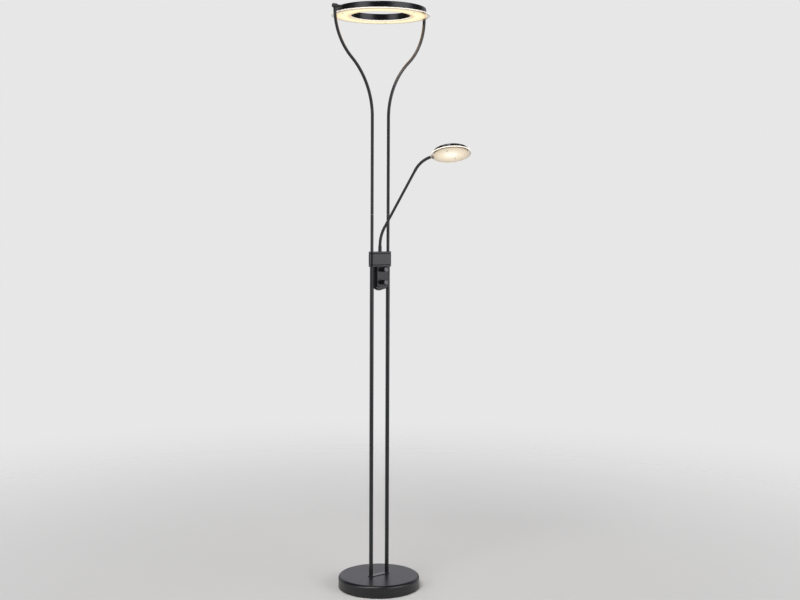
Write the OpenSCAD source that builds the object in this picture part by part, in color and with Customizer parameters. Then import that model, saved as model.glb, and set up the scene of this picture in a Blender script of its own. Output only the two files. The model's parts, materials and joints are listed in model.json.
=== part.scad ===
// Torchiere floor lamp with a tilting ring head, a flexible reading arm and two rotary dimmers.
// Millimetres, +Z up. The origin is the middle of the base on the floor. The two rods and the fork
// stand in the XZ plane, and the dimmers face -Y. The reading arm leans out between +X and -Y.

/* [Base] */
// Diameter of the round base
base_d = 255; // [220:1:320]
// Height of the base's flat top above the floor
base_h = 39; // [34:1:60]
// Sheet thickness of the base cover
base_wall = 1.6; // [1.2:0.1:2.5]
// Height of the cast weight inside the base
weight_h = 25; // [16:1:26]

/* [Rods] */
// Distance between the two rods
rod_gap = 62; // [56:1:74]
// Diameter of the rods below the collar
low_rod_d = 12.5; // [11:0.5:14]
// Diameter of the rods and fork above the collar
top_rod_d = 9.5; // [8:0.5:10.5]
// Height of the collar's underside
collar_z = 1011; // [900:1:1080]
// Height where the upper rods meet the fork arms
seam_z = 1172; // [1150:1:1300]

/* [Collar] */
// Height of the collar with its two caps
collar_h = 47; // [42:1:60]
// Front to back width of the collar
collar_w = 20; // [18:0.5:24]
// Thickness of each collar cap
cap_t = 6; // [5:0.5:8]

/* [Fork] */
// Height where the fork starts to open
fork_z = 1470; // [1400:1:1500]
// Radius of the lower, outward bend
fork_r = 235; // [200:1:260]
// Angle at the middle of the fork's curve
fork_angle = 48; // [42:0.5:52]
// Distance from the middle of the lamp to each fork tip
fork_reach = 170.6; // [168:0.1:190]

/* [Ring head] */
// Height of the tilt pins
pin_z = 1791; // [1789:1:1793]
// Outer diameter of the clear edge
ring_d = 303; // [280:1:304]
// Outer diameter of the ring housing
ring_case_d = 278; // [262:1:280]
// Diameter of the hole in the diffuser
ring_hole_d = 183; // [170:1:186]
// Height of the ring housing
ring_case_h = 20; // [18:0.5:20]
// Thickness of both diffusers
diffuser_t = 3; // [2.5:0.5:3]
// Turn of the first diffuser screw about the ring's middle
ring_screw_turn = 46.3; // [30:0.1:60]

/* [Dimmer] */
// Width of the dimmer box
box_w = 41.5; // [38:0.5:44]
// Depth of the dimmer box without its back plate
box_depth = 17.7; // [15:0.1:20]
// Place of the dimmer's front face before the rods
box_front = 14.7; // [14:0.1:17]
// Length of the dimmer box under the collar
box_len = 70; // [66:1:80]
// Diameter of the knobs
knob_d = 15; // [12:0.5:18]
// Length of the knobs
knob_len = 18.4; // [14:0.2:22]
// Distance between the two knobs
knob_gap = 39.5; // [32:0.5:42]

/* [Reading arm] */
// Turn of the arm's plane from the front towards +X
arm_turn = 30; // [0:1:40]
// Outer diameter of the flexible necks
neck_d = 9.2; // [8.6:0.2:10]
// Length of one link of a flexible neck
link_len = 12; // [12:0.5:13]
// Bend at each joint of the lower neck
low_bend = 6; // [2:0.1:10]
// Bend at each joint of the upper neck
top_bend = 8.1; // [2:0.1:10]
// Length of the rigid tube
tube_len = 201; // [120:1:260]
// Diameter of the rigid tube
tube_d = 8.2; // [7:0.2:9]

/* [Reading head] */
// Diameter of the clear edge
head_d = 124; // [110:1:140]
// Diameter of the head's housing
head_case_d = 104; // [92:1:112]
// Height of the head's housing
head_case_h = 12.4; // [11:0.2:16]
// Roll of the head about the end of the arm
head_roll = -17; // [-40:1:40]

/* [Hidden] */
$fn = 96;

black = "#26272a";
soft_black = "#1e1f21";
steel = "#b9bcc0";
iron = "#4a4b4d";
green = "#2f6b45";
brass = "#c9a755";
glow = "#fff3d6";

fit = 0.05;      // radial play between a shaft or rod and its bore
gap = 0.3;       // space between pieces that move past each other
rod_x = rod_gap / 2;
sides = [-1, 1];

// Base, from the floor up
base_r = base_d / 2;
pad_t = 2;
plate_t = 2;
plate_top = pad_t + plate_t;
cover_r = 8.5;             // rounding of the cover's top edge
inner_r = base_r - base_wall;
weight_r = base_r - 12;
pocket_h = 10;             // pocket under the weight for washer and nut
pocket_r = 12;
weight_top = plate_top + weight_h;
stud_d = 8;
foot_t = 2;
foot_top = base_h + foot_t;
gland_z = 15;
gland_bore = 6.4;

// Collar
collar_top = collar_z + collar_h;
body_z = collar_z + cap_t;
body_h = collar_h - 2 * cap_t;
rod_seat = collar_z + 20;  // top end of the lower rods
collar_screw_x = 21;

// Fork: a lower bend outwards and an upper bend back to vertical
fork_r2 = (fork_reach - rod_x) / (1 - cos(fork_angle)) - fork_r;
fork_top = fork_z + (fork_r + fork_r2) * sin(fork_angle);
knuckle_d = 13;
knuckle_w = 12;
pin_d = 6;

// Ring head
ring_top = pin_z + 9;
ring_case_z = ring_top - ring_case_h;
case_wall = 1.6;
ring_inner_r = ring_hole_d / 2 + 3.5;
ring_screw_r = ring_case_d / 2 - 14;
sleeve_from = ring_case_d / 2 + gap;
sleeve_to = fork_reach - knuckle_w / 2 - 1.1;

// Dimmer
box_top = collar_z - 0.4;
box_low = collar_z - box_len;
box_back = box_depth - box_front;
box_arc_r = 31;
box_wall = 1.6;
hang_y = 0.4;              // place of the two screws that hang the dimmer
knob_back = box_front + 0.5;
knob_z = [box_low + 62.2 - knob_gap, box_low + 62.2];

// Reading arm
ferrule_d = 11;
ferrule_h = 18.2;
arm_z = collar_top + gap;
neck_z = collar_top + ferrule_h;
half_link = link_len / 2;
low_links = 4;
top_links = 5;
ball_r = 2.8;
core_r = neck_d / 2 - 0.9;
ribs = 5;
rib_pitch = link_len / ribs;
wire_r = 1.2;

// Reading head
socket_len = 7.7;
socket_r = 4.7;                            // clears the diffuser's clear edge below it
head_mid = socket_len + head_case_d / 2;   // from the end of the neck to the head's middle
head_low = -5;                             // underside of the housing below the arm's axis
head_screw_r = 33;
shank_len = 9;
socket_shank = 4.5;                        // the last shank ends inside the socket
turn_pin_r = 3.4;                          // hollow pin that the head turns on

// A flat bar with round ends, between two centres at +/- half, standing on z = 0.
module stadium(half, w, h) {
    cube_w = 2 * half;
    translate([-half, -w / 2, 0]) cube([cube_w, w, h]);
    for (s = sides) translate([s * half, 0, 0]) cylinder(d = w, h = h);
}

// A cylinder along +Y that starts at y.
module along_y(x, y, z, d, len) {
    translate([x, y, z]) rotate([-90, 0, 0]) cylinder(d = d, h = len);
}

// A cylinder along X between x1 and x2, mirrored to the side s.
module along_x(s, x1, x2, z, d) {
    translate([s > 0 ? x1 : -x2, 0, z]) rotate([0, 90, 0]) cylinder(d = d, h = x2 - x1);
}

// A ring about Z.
module ring(r_in, r_out, z1, z2) {
    rotate_extrude() translate([r_in, z1]) square([r_out - r_in, z2 - z1]);
}

// Half of a cap's outline from the axis out, with its top edge rounded by r.
module rounded_profile(r_out, z1, z2, r) {
    translate([0, z1]) square([r_out - r, z2 - z1]);
    translate([r_out - r - 0.01, z1]) square([r + 0.01, z2 - z1 - r]);
    intersection() {
        translate([r_out - r, z2 - r]) circle(r);
        translate([r_out - r - 0.01, z2 - r - 0.01]) square(r + 0.02);
    }
}

// ---- Base ----

module floor_pad() {
    color(soft_black) cylinder(r = base_r - 6, h = pad_t);
}

module base_plate() {
    color(steel) translate([0, 0, pad_t]) cylinder(r = inner_r - 0.4, h = plate_t);
}

module base_weight() {
    color(iron) difference() {
        translate([0, 0, plate_top]) cylinder(r = weight_r, h = weight_h);
        for (s = sides) translate([s * rod_x, 0, 0]) {
            cylinder(d = stud_d + 1, h = base_h);
            translate([0, 0, plate_top - 1]) cylinder(r = pocket_r, h = pocket_h + 1);
        }
        translate([0, weight_r, gland_z]) rotate([90, 0, 0]) cylinder(d = 18, h = 20);
    }
}

module base_cover() {
    color(black) difference() {
        rotate_extrude($fn = 180) rounded_profile(base_r, pad_t, base_h, cover_r);
        rotate_extrude($fn = 180)
            rounded_profile(inner_r, pad_t - 1, base_h - base_wall, cover_r - base_wall);
        for (s = sides) translate([s * rod_x, 0, base_h - 5]) cylinder(d = stud_d + 0.6, h = 10);
        along_y(0, base_r - 10, gland_z, 10, 20);
    }
    // Spacers pressed into the cover, which carry the rods' clamping force down to the weight
    color(black) for (s = sides) translate([s * rod_x, 0, weight_top]) difference() {
        cylinder(d = 20, h = base_h - base_wall - weight_top + 0.4);
        translate([0, 0, -1]) cylinder(d = stud_d + 0.6, h = base_h);
    }
}

module cord_gland() {
    color(soft_black) translate([0, inner_r, gland_z]) rotate([-90, 0, 0]) difference() {
        union() {
            translate([0, 0, -2.4]) cylinder(d = 13, h = 2);
            translate([0, 0, -2.4]) cylinder(d = 9.8, h = base_wall + 3.6);
            translate([0, 0, base_wall + 0.1]) cylinder(d = 13, h = 1.2);
        }
        translate([0, 0, -3]) cylinder(d = gland_bore, h = 10);
    }
}

module foot_plate() {
    color(black) translate([0, 0, base_h]) difference() {
        stadium(rod_x, 19, foot_t);
        for (s = sides) translate([s * rod_x, 0, -1]) cylinder(d = stud_d + 0.4, h = foot_t + 2);
    }
}

module rod_studs() {
    color(steel) for (s = sides)
        translate([s * rod_x, 0, plate_top + 1]) cylinder(d = stud_d, h = 60);
}

module rod_washers() {
    z = plate_top + pocket_h - 1.6;
    color(steel) for (s = sides) translate([s * rod_x, 0, 0]) ring(stud_d / 2 + 0.2, 10, z, z + 1.6);
}

module rod_nuts() {
    color(steel) for (s = sides) translate([s * rod_x, 0, plate_top + 1.6]) difference() {
        cylinder(d = 15, h = 6.5, $fn = 6);
        translate([0, 0, -1]) cylinder(d = stud_d + 2 * fit, h = 10);
    }
}

// ---- Rods ----

// A lower rod: a tube with a threaded foot for the stud.
module lower_rod(s) {
    foot = 32;
    color(black) translate([s * rod_x, 0, foot_top]) difference() {
        cylinder(d = low_rod_d, h = rod_seat - foot_top);
        translate([0, 0, -1]) cylinder(d = stud_d + 2 * fit, h = foot + 2);
        translate([0, 0, foot]) cylinder(d = low_rod_d - 2.6, h = rod_seat);
    }
}

module lower_rod_left() { lower_rod(-1); }

module lower_rod_right() { lower_rod(1); }

// An upper rod: a plain tube from the collar to the joiner.
module upper_rod(s) {
    z = rod_seat + 4;
    color(black) translate([s * rod_x, 0, 0]) ring(top_rod_d / 2 - 1, top_rod_d / 2, z, seam_z - 0.15);
}

module upper_rod_left() { upper_rod(-1); }

module upper_rod_right() { upper_rod(1); }

module rod_joiners() {
    color(steel) for (s = sides) translate([s * rod_x, 0, seam_z - 22])
        ring(wire_r, top_rod_d / 2 - 1 - fit, 0, 44);
}

// ---- Fork ----

// A solid rod of diameter d along the fork's middle line on the +X side. It starts e below the seam
// and ends at the knuckle's neck. A brazed bead, a hair wider than the rod, joins the two bends.
module fork_path(d, e) {
    start = seam_z + 0.15 - e;
    mid = [rod_x + fork_r * (1 - cos(fork_angle)), 0, fork_z + fork_r * sin(fork_angle)];
    union() {
        translate([rod_x, 0, start]) cylinder(d = d, h = fork_z - start);
        translate([rod_x + fork_r, 0, fork_z]) mirror([1, 0, 0]) rotate([90, 0, 0])
            rotate_extrude(angle = fork_angle) translate([fork_r, 0]) circle(d = d);
        translate(mid) sphere(d = d + 0.3);
    }
    translate([fork_reach - fork_r2, 0, fork_top]) mirror([0, 0, 1]) rotate([90, 0, 0])
        rotate_extrude(angle = fork_angle) translate([fork_r2, 0]) circle(d = d);
}

// A fork arm: a bent tube that ends flat under its knuckle.
module fork_arm() {
    color(black) difference() {
        fork_path(top_rod_d, 0);
        fork_path(top_rod_d - 2, 1);
    }
}

module fork_arm_left() { mirror([1, 0, 0]) fork_arm(); }

module fork_arm_right() { fork_arm(); }

module fork_knuckles() {
    neck = fork_top + 0.1;
    color(black) for (s = sides) {
        difference() {
            union() {
                along_x(s, fork_reach - knuckle_w / 2, fork_reach + knuckle_w / 2, pin_z, knuckle_d);
                translate([s * fork_reach, 0, neck]) cylinder(d = top_rod_d, h = pin_z - neck - 3.5);
            }
            along_x(s, fork_reach - knuckle_w, fork_reach + knuckle_w, pin_z, pin_d + 2 * fit);
        }
        // Spigot that holds the knuckle in the tube
        translate([s * fork_reach, 0, neck - 6]) cylinder(d = top_rod_d - 2.6, h = 6.5);
    }
}

// Domed end pieces that close the knuckles.
module fork_caps() {
    out = fork_reach + knuckle_w / 2 + 0.05;
    color(black) for (s = sides) translate([s * out, 0, pin_z]) rotate([0, s * 90, 0]) difference() {
        rotate_extrude() {
            square([knuckle_d / 2, 0.9]);
            intersection() {
                translate([0, -4.3]) circle(8.1);
                translate([0, 0.85]) square([knuckle_d / 2 - 0.1, 4]);
            }
        }
        translate([0, 0, -0.1]) cylinder(d = pin_d + 1, h = 1.2);
    }
}

// ---- Collar ----

module rod_bores(d, z, h) {
    for (s = sides) translate([s * rod_x, 0, z]) cylinder(d = d, h = h);
}

// Outline of the collar, with a small chamfer at both ends that marks each seam.
module collar_slab(z, h) {
    c = 0.5;
    translate([0, 0, z]) stadium(rod_x, collar_w - 2 * c, h);
    translate([0, 0, z + c]) stadium(rod_x, collar_w, h - 2 * c);
}

module collar_bottom_cap() {
    color(black) difference() {
        collar_slab(collar_z, cap_t);
        rod_bores(low_rod_d + 2 * fit, collar_z - 1, cap_t + 2);
        translate([0, 0, collar_z - 1]) cylinder(d = 8, h = cap_t + 2);
        for (s = sides) translate([s * collar_screw_x, 0, collar_z - 1]) {
            cylinder(d = 3.2, h = cap_t + 2);
            cylinder(d = 5.8, h = 3.4);
        }
        for (s = sides) translate([s * 13, hang_y, collar_z - 1]) cylinder(d = 3, h = cap_t);
    }
}

module collar_body() {
    color(black) difference() {
        collar_slab(body_z, body_h);
        rod_bores(low_rod_d + 2 * fit, body_z - 1, rod_seat - body_z + 1);
        rod_bores(6, body_z, body_h);
        rod_bores(top_rod_d + 2 * fit, rod_seat + 4, body_h);
        translate([0, 0, body_z - 1]) stadium(9, 14, body_h + 2);
        for (s = sides) translate([s * collar_screw_x, 0, body_z - 1]) cylinder(d = 3.2, h = body_h + 2);
        for (s = sides, z = [rod_seat - 6, rod_seat + 15]) along_y(s * rod_x, 0, z, 4 + 2 * fit, 12);
    }
}

module collar_top_cap() {
    z = collar_top - cap_t;
    color(black) difference() {
        collar_slab(z, cap_t);
        rod_bores(top_rod_d + 2 * fit, z - 1, cap_t + 2);
        translate([0, 0, z - 1]) cylinder(d = 8 + 2 * fit, h = cap_t + 2);
        for (s = sides) translate([s * collar_screw_x, 0, z - 1]) cylinder(d = 3 + 2 * fit, h = 5);
    }
}

module collar_screws() {
    color(steel) for (s = sides) translate([s * collar_screw_x, 0, collar_z]) difference() {
        union() {
            translate([0, 0, 0.2]) cylinder(d = 5.5, h = 2.1);
            cylinder(d = 3, h = collar_h - cap_t + 3.4);
        }
        translate([0, 0, -1]) cylinder(d = 2.2, h = 2.4, $fn = 6);
    }
}

module rod_set_screws() {
    levels = [[rod_seat - 6, low_rod_d], [rod_seat + 15, top_rod_d]];
    color(steel) for (s = sides, l = levels) {
        y = l[1] / 2 + 0.1;
        difference() {
            along_y(s * rod_x, y, l[0], 4, collar_w / 2 - 0.5 - y);
            along_y(s * rod_x, collar_w / 2 - 2, l[0], 2, 3);
        }
    }
}

// ---- Dimmer ----

// The dimmer's outline in the XZ plane, grown by g, from y and as deep as t. Its foot is an arc,
// which can be set lower by drop.
module box_outline(g, y, t, top = box_top, drop = 0) {
    low = box_low - g - drop;
    mid = box_low + box_arc_r - drop;
    intersection() {
        translate([-box_w / 2 - g, y, low]) cube([box_w + 2 * g, t, mid - low]);
        along_y(0, y - 1, mid, 2 * (box_arc_r + g), t + 2);
    }
    translate([-box_w / 2 - g, y, mid]) cube([box_w + 2 * g, t, top - mid]);
}

module dimmer_cover() {
    color(black) difference() {
        box_outline(0, -box_front, box_depth);
        box_outline(-box_wall, -box_front + box_wall, box_depth, box_top + 1);
        for (z = knob_z) along_y(0, -box_front - 1, z, 7.3, 4);
    }
    // Pads inside the front wall that the two back screws reach
    color(black) for (x = [-15, 15]) difference() {
        along_y(x, -box_front + box_wall - 0.2, box_low + 34, 5.4, box_depth - box_wall - 1);
        along_y(x, -box_front + 4, box_low + 34, 2.6, box_depth);
    }
}

module dimmer_back() {
    color(black) {
        difference() {
            box_outline(1.2, box_back + 0.2, 2, drop = 3);
            for (x = [-15, 15]) along_y(x, box_back - 1, box_low + 34, 3.1, 4);
        }
        // Flange that hangs the dimmer from the collar
        difference() {
            translate([-18, hang_y - 2.6, collar_z - 2.05]) cube([36, box_back + 2.8 - hang_y, 2]);
            for (s = sides) translate([s * 13, hang_y, collar_z - 3]) cylinder(d = 3.2, h = 6);
        }
    }
}

module dimmer_screws() {
    color(steel) {
        for (x = [-15, 15]) {
            along_y(x, box_back - 8, box_low + 34, 2.5, 10.2);
            along_y(x, box_back + 2.2, box_low + 34, 5, 1.3);
        }
        for (s = sides) translate([s * 13, hang_y, collar_z]) {
            translate([0, 0, -3.7]) cylinder(d = 4.8, h = 1.6);
            translate([0, 0, -2.5]) cylinder(d = 2.9, h = 7);
        }
    }
}

module dimmer_board() {
    color(green) difference() {
        translate([-16, -box_front + 10.4, box_low + 13]) cube([32, 1.6, 55]);
        for (x = [-15, 15]) along_y(x, -10, box_low + 34, 6, 20);
    }
    // Two capacitors and a driver chip
    color(soft_black) {
        for (x = [-9, 9]) along_y(x, -box_front + 11.9, box_low + 22, 6.4, 3.6);
        translate([-4.5, -box_front + 11.9, box_low + 40]) cube([9, 2.4, 9]);
    }
}

module dial_bodies() {
    front = -box_front + box_wall + 0.1;
    color(steel) for (z = knob_z) difference() {
        union() {
            along_y(0, front, z, 13, 8.6);
            along_y(0, front - 5.4, z, 7, 5.5);
        }
        along_y(0, front - 6, z, pin_d + 2 * fit, 11);
    }
}

module dial_nuts() {
    color(steel) for (z = knob_z) translate([0, -box_front - 0.1, z]) rotate([90, 30, 0]) difference() {
        cylinder(d = 11, h = 1.8, $fn = 6);
        translate([0, 0, -1]) cylinder(d = 7 + 2 * fit, h = 4);
    }
}

module dial_shaft(z) {
    tip = knob_back + knob_len - 1.5;
    color(steel) along_y(0, -tip, z, pin_d, tip - box_front + box_wall + 2.5);
}

module upper_dial_shaft() { dial_shaft(knob_z[1]); }

module lower_dial_shaft() { dial_shaft(knob_z[0]); }

// A plain turned knob, hollow behind to clear the nut.
module knob(z) {
    r = knob_d / 2;
    color(black) translate([0, -knob_back, z]) rotate([90, 0, 0]) difference() {
        rotate_extrude() rounded_profile(r, 0, knob_len, 0.8);
        translate([0, 0, -1]) cylinder(d = 12, h = 5.6);
        translate([0, 0, -1]) cylinder(d = pin_d + 2 * fit, h = knob_len - 0.4);
        // Pointer notch in the cap's edge, at the full-on end of the knob's turn
        rotate([0, 0, -140]) translate([0, r, knob_len]) rotate([45, 0, 0])
            cube([0.8, 2.4, 2.4], center = true);
    }
}

module upper_knob() { knob(knob_z[1]); }

module lower_knob() { knob(knob_z[0]); }

// ---- Ring head ----

module pivot_pins() {
    wall_in = ring_case_d / 2 - case_wall;
    color(steel) for (s = sides)
        along_x(s, wall_in - 8, fork_reach + knuckle_w / 2 - 0.2, pin_z, pin_d);
}

module pivot_washers() {
    color(steel) for (s = sides) difference() {
        along_x(s, sleeve_to + 0.05, sleeve_to + 0.85, pin_z, 12);
        along_x(s, sleeve_to - 1, sleeve_to + 2, pin_z, pin_d + 2 * fit);
    }
}

module pivot_sleeves() {
    color(black) for (s = sides) difference() {
        intersection() {
            along_x(s, sleeve_from - 2, sleeve_to, pin_z, 8.6);
            ring(sleeve_from - 0.2, sleeve_to + 9, pin_z - 9, pin_z + 9);
        }
        along_x(s, sleeve_from - 3, sleeve_to + 1, pin_z, pin_d + 2 * fit);
    }
}

module pivot_nuts() {
    wall_in = ring_case_d / 2 - case_wall;
    color(steel) for (s = sides) translate([s * (wall_in - 5.2), 0, pin_z]) rotate([0, 90, 0])
        difference() {
            cylinder(d = 10.4, h = 4, $fn = 6, center = true);
            cylinder(d = pin_d + 2 * fit, h = 6, center = true);
        }
}

// Places its children at the ring's three screws.
module at_ring_screws() {
    for (k = [0:2]) rotate([0, 0, ring_screw_turn + 120 * k]) translate([ring_screw_r, 0, 0]) children();
}

module ring_housing() {
    r = ring_case_d / 2;
    color(black) difference() {
        union() {
            difference() {
                rotate_extrude($fn = 180) difference() {
                    rounded_profile(r, ring_case_z, ring_top, 3);
                    translate([0, ring_case_z - 1]) square([ring_inner_r, ring_case_h + 2]);
                }
                rotate_extrude($fn = 180) difference() {
                    rounded_profile(r - case_wall, ring_case_z - 1, ring_top - case_wall, 1.6);
                    translate([0, ring_case_z - 2]) square([ring_inner_r + case_wall, ring_case_h + 4]);
                }
            }
            at_ring_screws() translate([0, 0, ring_case_z]) cylinder(d = 7, h = ring_case_h - 1);
        }
        for (s = sides) along_x(s, r - 6, r + 6, pin_z, pin_d + 2 * fit);
        at_ring_screws() translate([0, 0, ring_case_z - 1]) cylinder(d = 3 + 2 * fit, h = 13);
    }
}

module ring_board() {
    z = ring_top - case_wall - 1.9;
    mid = (ring_inner_r + ring_case_d / 2) / 2;
    color(green) difference() {
        ring(ring_inner_r + case_wall + 1, ring_case_d / 2 - case_wall - 3, z, z + 1.6);
        at_ring_screws() translate([0, 0, z - 1]) cylinder(d = 7.6, h = 4);
    }
    // Two rows of light-emitting diodes
    color(glow) for (row = [-9, 9], k = [0:23]) rotate([0, 0, 15 * k + 4])
        translate([mid + row, 0, z - 0.4]) cube([3.5, 2.8, 0.9], center = true);
}

module ring_diffuser() {
    color(glow) difference() {
        ring(ring_hole_d / 2, ring_d / 2, ring_case_z - diffuser_t - 0.05, ring_case_z - 0.05);
        at_ring_screws() translate([0, 0, ring_case_z - 9]) cylinder(d = 3.4, h = 12);
    }
}

module ring_screws() {
    z = ring_case_z - diffuser_t - 0.1;
    color(steel) at_ring_screws() {
        translate([0, 0, z - 1]) cylinder(d = 5, h = 1);
        translate([0, 0, z - 0.2]) cylinder(d = 3, h = 14);
    }
}

// ---- Reading arm ----

// Moves from the lamp's axes to the foot of the arm: +Z along the arm, +X to where it leans.
module at_arm_foot() {
    translate([0, 0, neck_z]) rotate([0, 0, arm_turn - 90]) children();
}

// Moves to joint k of a neck whose joints bend by b. Joint 0 is half a link up the neck.
module at_joint(k, b) {
    if (k < 0) translate([0, 0, half_link]) children();
    else at_joint_next(k, b) children();
}

module at_joint_next(k, b) {
    if (k == 0) translate([0, 0, half_link]) rotate([0, b, 0]) children();
    else at_joint_next(k - 1, b) translate([0, 0, link_len]) rotate([0, b, 0]) children();
}

// Moves to the start of the rigid tube, and to the start of the upper neck.
module at_tube() {
    at_arm_foot() at_joint(low_links, low_bend) translate([0, 0, half_link]) children();
}

module at_upper_neck() {
    at_tube() translate([0, 0, tube_len]) children();
}

// Moves to the end of the arm, with the head's roll taken in.
module at_arm_end() {
    at_upper_neck() at_joint(top_links, top_bend) translate([0, 0, half_link])
        rotate([0, 0, head_roll]) children();
}

// Moves to the head's middle: +X outwards, -Z to the side that shines.
module at_head() {
    at_arm_end() translate([0, 0, head_mid]) rotate([0, -90, 0]) children();
}

// Ribbed sleeve of a neck from z1 to z2, with its ribs at the middle of each pitch.
module ribbed(z1, z2, count, first) {
    difference() {
        union() {
            translate([0, 0, z1]) cylinder(r = core_r, h = z2 - z1);
            rotate_extrude() for (k = [0:count - 1]) translate([0, first + k * rib_pitch]) {
                translate([1, -0.6]) square([neck_d / 2 - 1.6, 1.2]);
                translate([neck_d / 2 - 0.6, 0]) circle(0.6, $fn = 24);
            }
        }
        translate([0, 0, z1 - 1]) cylinder(r = wire_r, h = z2 - z1 + 2);
    }
}

// The ball that the next link turns on, at the height z.
module ball(z) {
    difference() {
        union() {
            translate([0, 0, z]) sphere(ball_r, $fn = 48);
            translate([0, 0, z - 1.2]) cylinder(r = 2.1, h = 1.4);
        }
        translate([0, 0, z - 5]) cylinder(r = wire_r, h = 10);
    }
}

module socket_space() {
    sphere(ball_r + 0.25, $fn = 48);
}

// One link of a neck, from its own joint at z = 0 to the next joint.
module link() {
    color(black) {
        difference() {
            ribbed(0.6, link_len - 0.6, ribs, rib_pitch / 2);
            socket_space();
        }
        ball(link_len);
    }
}

// The first half link, with a shank down into the piece that holds it.
module neck_root() {
    color(black) {
        ribbed(0, half_link - 0.6, 2, half_link - 1.5 * rib_pitch);
        difference() {
            translate([0, 0, -shank_len]) cylinder(r = 2.9, h = shank_len + 0.2);
            translate([0, 0, -10]) cylinder(r = wire_r, h = 12);
        }
        ball(half_link);
    }
}

// The last half link, from its joint at z = 0, with a shank up into the next piece.
module neck_tip(shank = shank_len) {
    color(black) {
        difference() {
            ribbed(0.6, half_link, 2, rib_pitch / 2);
            socket_space();
        }
        difference() {
            translate([0, 0, half_link - 0.2]) cylinder(r = 2.9, h = shank + 0.2);
            cylinder(r = wire_r, h = 20);
        }
    }
}

module arm_ferrule() {
    r = ferrule_d / 2;
    color(black) difference() {
        union() {
            translate([0, 0, arm_z]) rotate_extrude() rounded_profile(r, 0, neck_z - arm_z, 0.6);
            translate([0, 0, collar_top - 11]) cylinder(d = 8, h = 12);
        }
        translate([0, 0, neck_z - 11]) cylinder(r = 2.9 + fit, h = 12);
        translate([0, 0, collar_top - 12]) cylinder(r = 2, h = 30);
    }
}

// Nut under the collar's top cap that keeps the arm in.
module arm_nut() {
    z = collar_top - cap_t - gap - 3.2;
    color(steel) translate([0, 0, z]) difference() {
        cylinder(d = 13, h = 3.2, $fn = 6);
        translate([0, 0, -1]) cylinder(d = 8 + 2 * fit, h = 6);
    }
}

module lower_neck_root() { at_arm_foot() neck_root(); }

module lower_neck_1() { at_arm_foot() at_joint(0, low_bend) link(); }

module lower_neck_2() { at_arm_foot() at_joint(1, low_bend) link(); }

module lower_neck_3() { at_arm_foot() at_joint(2, low_bend) link(); }

module lower_neck_4() { at_arm_foot() at_joint(3, low_bend) link(); }

// The rigid tube with the last half link of the lower neck and the first of the upper neck.
module arm_tube() {
    at_arm_foot() at_joint(low_links, low_bend) neck_tip();
    at_upper_neck() neck_root();
    color(black) at_tube() rotate_extrude() {
        translate([2.85, 0]) square([tube_d / 2 - 2.85, tube_len]);
    }
}

module upper_neck_1() { at_upper_neck() at_joint(0, top_bend) link(); }

module upper_neck_2() { at_upper_neck() at_joint(1, top_bend) link(); }

module upper_neck_3() { at_upper_neck() at_joint(2, top_bend) link(); }

module upper_neck_4() { at_upper_neck() at_joint(3, top_bend) link(); }

module upper_neck_5() { at_upper_neck() at_joint(4, top_bend) link(); }

// ---- Reading head ----

// The socket at the end of the neck, with a hollow pin that the head turns on.
module head_socket() {
    at_upper_neck() at_joint(top_links, top_bend) neck_tip(socket_shank);
    color(black) at_arm_end() difference() {
        union() {
            rotate_extrude() rounded_profile(socket_r, 0, socket_len - 0.5, 0.5);
            cylinder(r = turn_pin_r, h = socket_len + 7);
            translate([0, 0, socket_len + 4.6]) cylinder(r = turn_pin_r + 0.5, h = 2);
        }
        translate([0, 0, -1]) cylinder(r = 2.9 + fit, h = socket_shank + 1.4);
        cylinder(r = 2, h = 30);
    }
}

module head_housing() {
    r = head_case_d / 2;
    top = head_low + head_case_h;
    color(black) at_head() difference() {
        union() {
            difference() {
                rotate_extrude($fn = 128) rounded_profile(r, head_low, top, 2.5);
                rotate_extrude($fn = 128) rounded_profile(r - 1.5, head_low - 1, top - 1.5, 1);
            }
            // Block that carries the turning pin
            intersection() {
                translate([-r, -7, head_low + 0.4]) cube([4, 14, head_case_h - 1]);
                translate([0, 0, head_low]) cylinder(r = r - 0.5, h = head_case_h);
            }
            for (s = sides) translate([0, s * head_screw_r, head_low])
                cylinder(d = 6, h = head_case_h - 1);
        }
        translate([-r - 2, 0, 0]) rotate([0, 90, 0]) cylinder(r = turn_pin_r + fit, h = 8);
        for (s = sides) translate([0, s * head_screw_r, head_low - 1]) cylinder(d = 2.6, h = 9);
    }
}

module head_board() {
    z = head_low + head_case_h - 1.5 - 1.9;
    color(green) at_head() {
        difference() {
            translate([0, 0, z]) cylinder(r = head_case_d / 2 - 10, h = 1.6);
            for (s = sides) translate([0, s * head_screw_r, z - 1]) cylinder(d = 6.6, h = 4);
        }
        translate([0, 0, z - 1.2]) cylinder(d = 28, h = 1.4);
    }
}

module head_diffuser() {
    color(glow) at_head() difference() {
        translate([0, 0, head_low - 0.05 - diffuser_t]) cylinder(d = head_d, h = diffuser_t);
        for (s = sides) translate([0, s * head_screw_r, head_low - 9]) cylinder(d = 2.9, h = 12);
    }
}

module head_screws() {
    z = head_low - 0.1 - diffuser_t;
    color(steel) at_head() for (s = sides) translate([0, s * head_screw_r, 0]) {
        translate([0, 0, z - 0.9]) cylinder(d = 4.4, h = 0.9);
        translate([0, 0, z - 0.2]) cylinder(d = 2.5, h = 9);
    }
}

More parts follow.
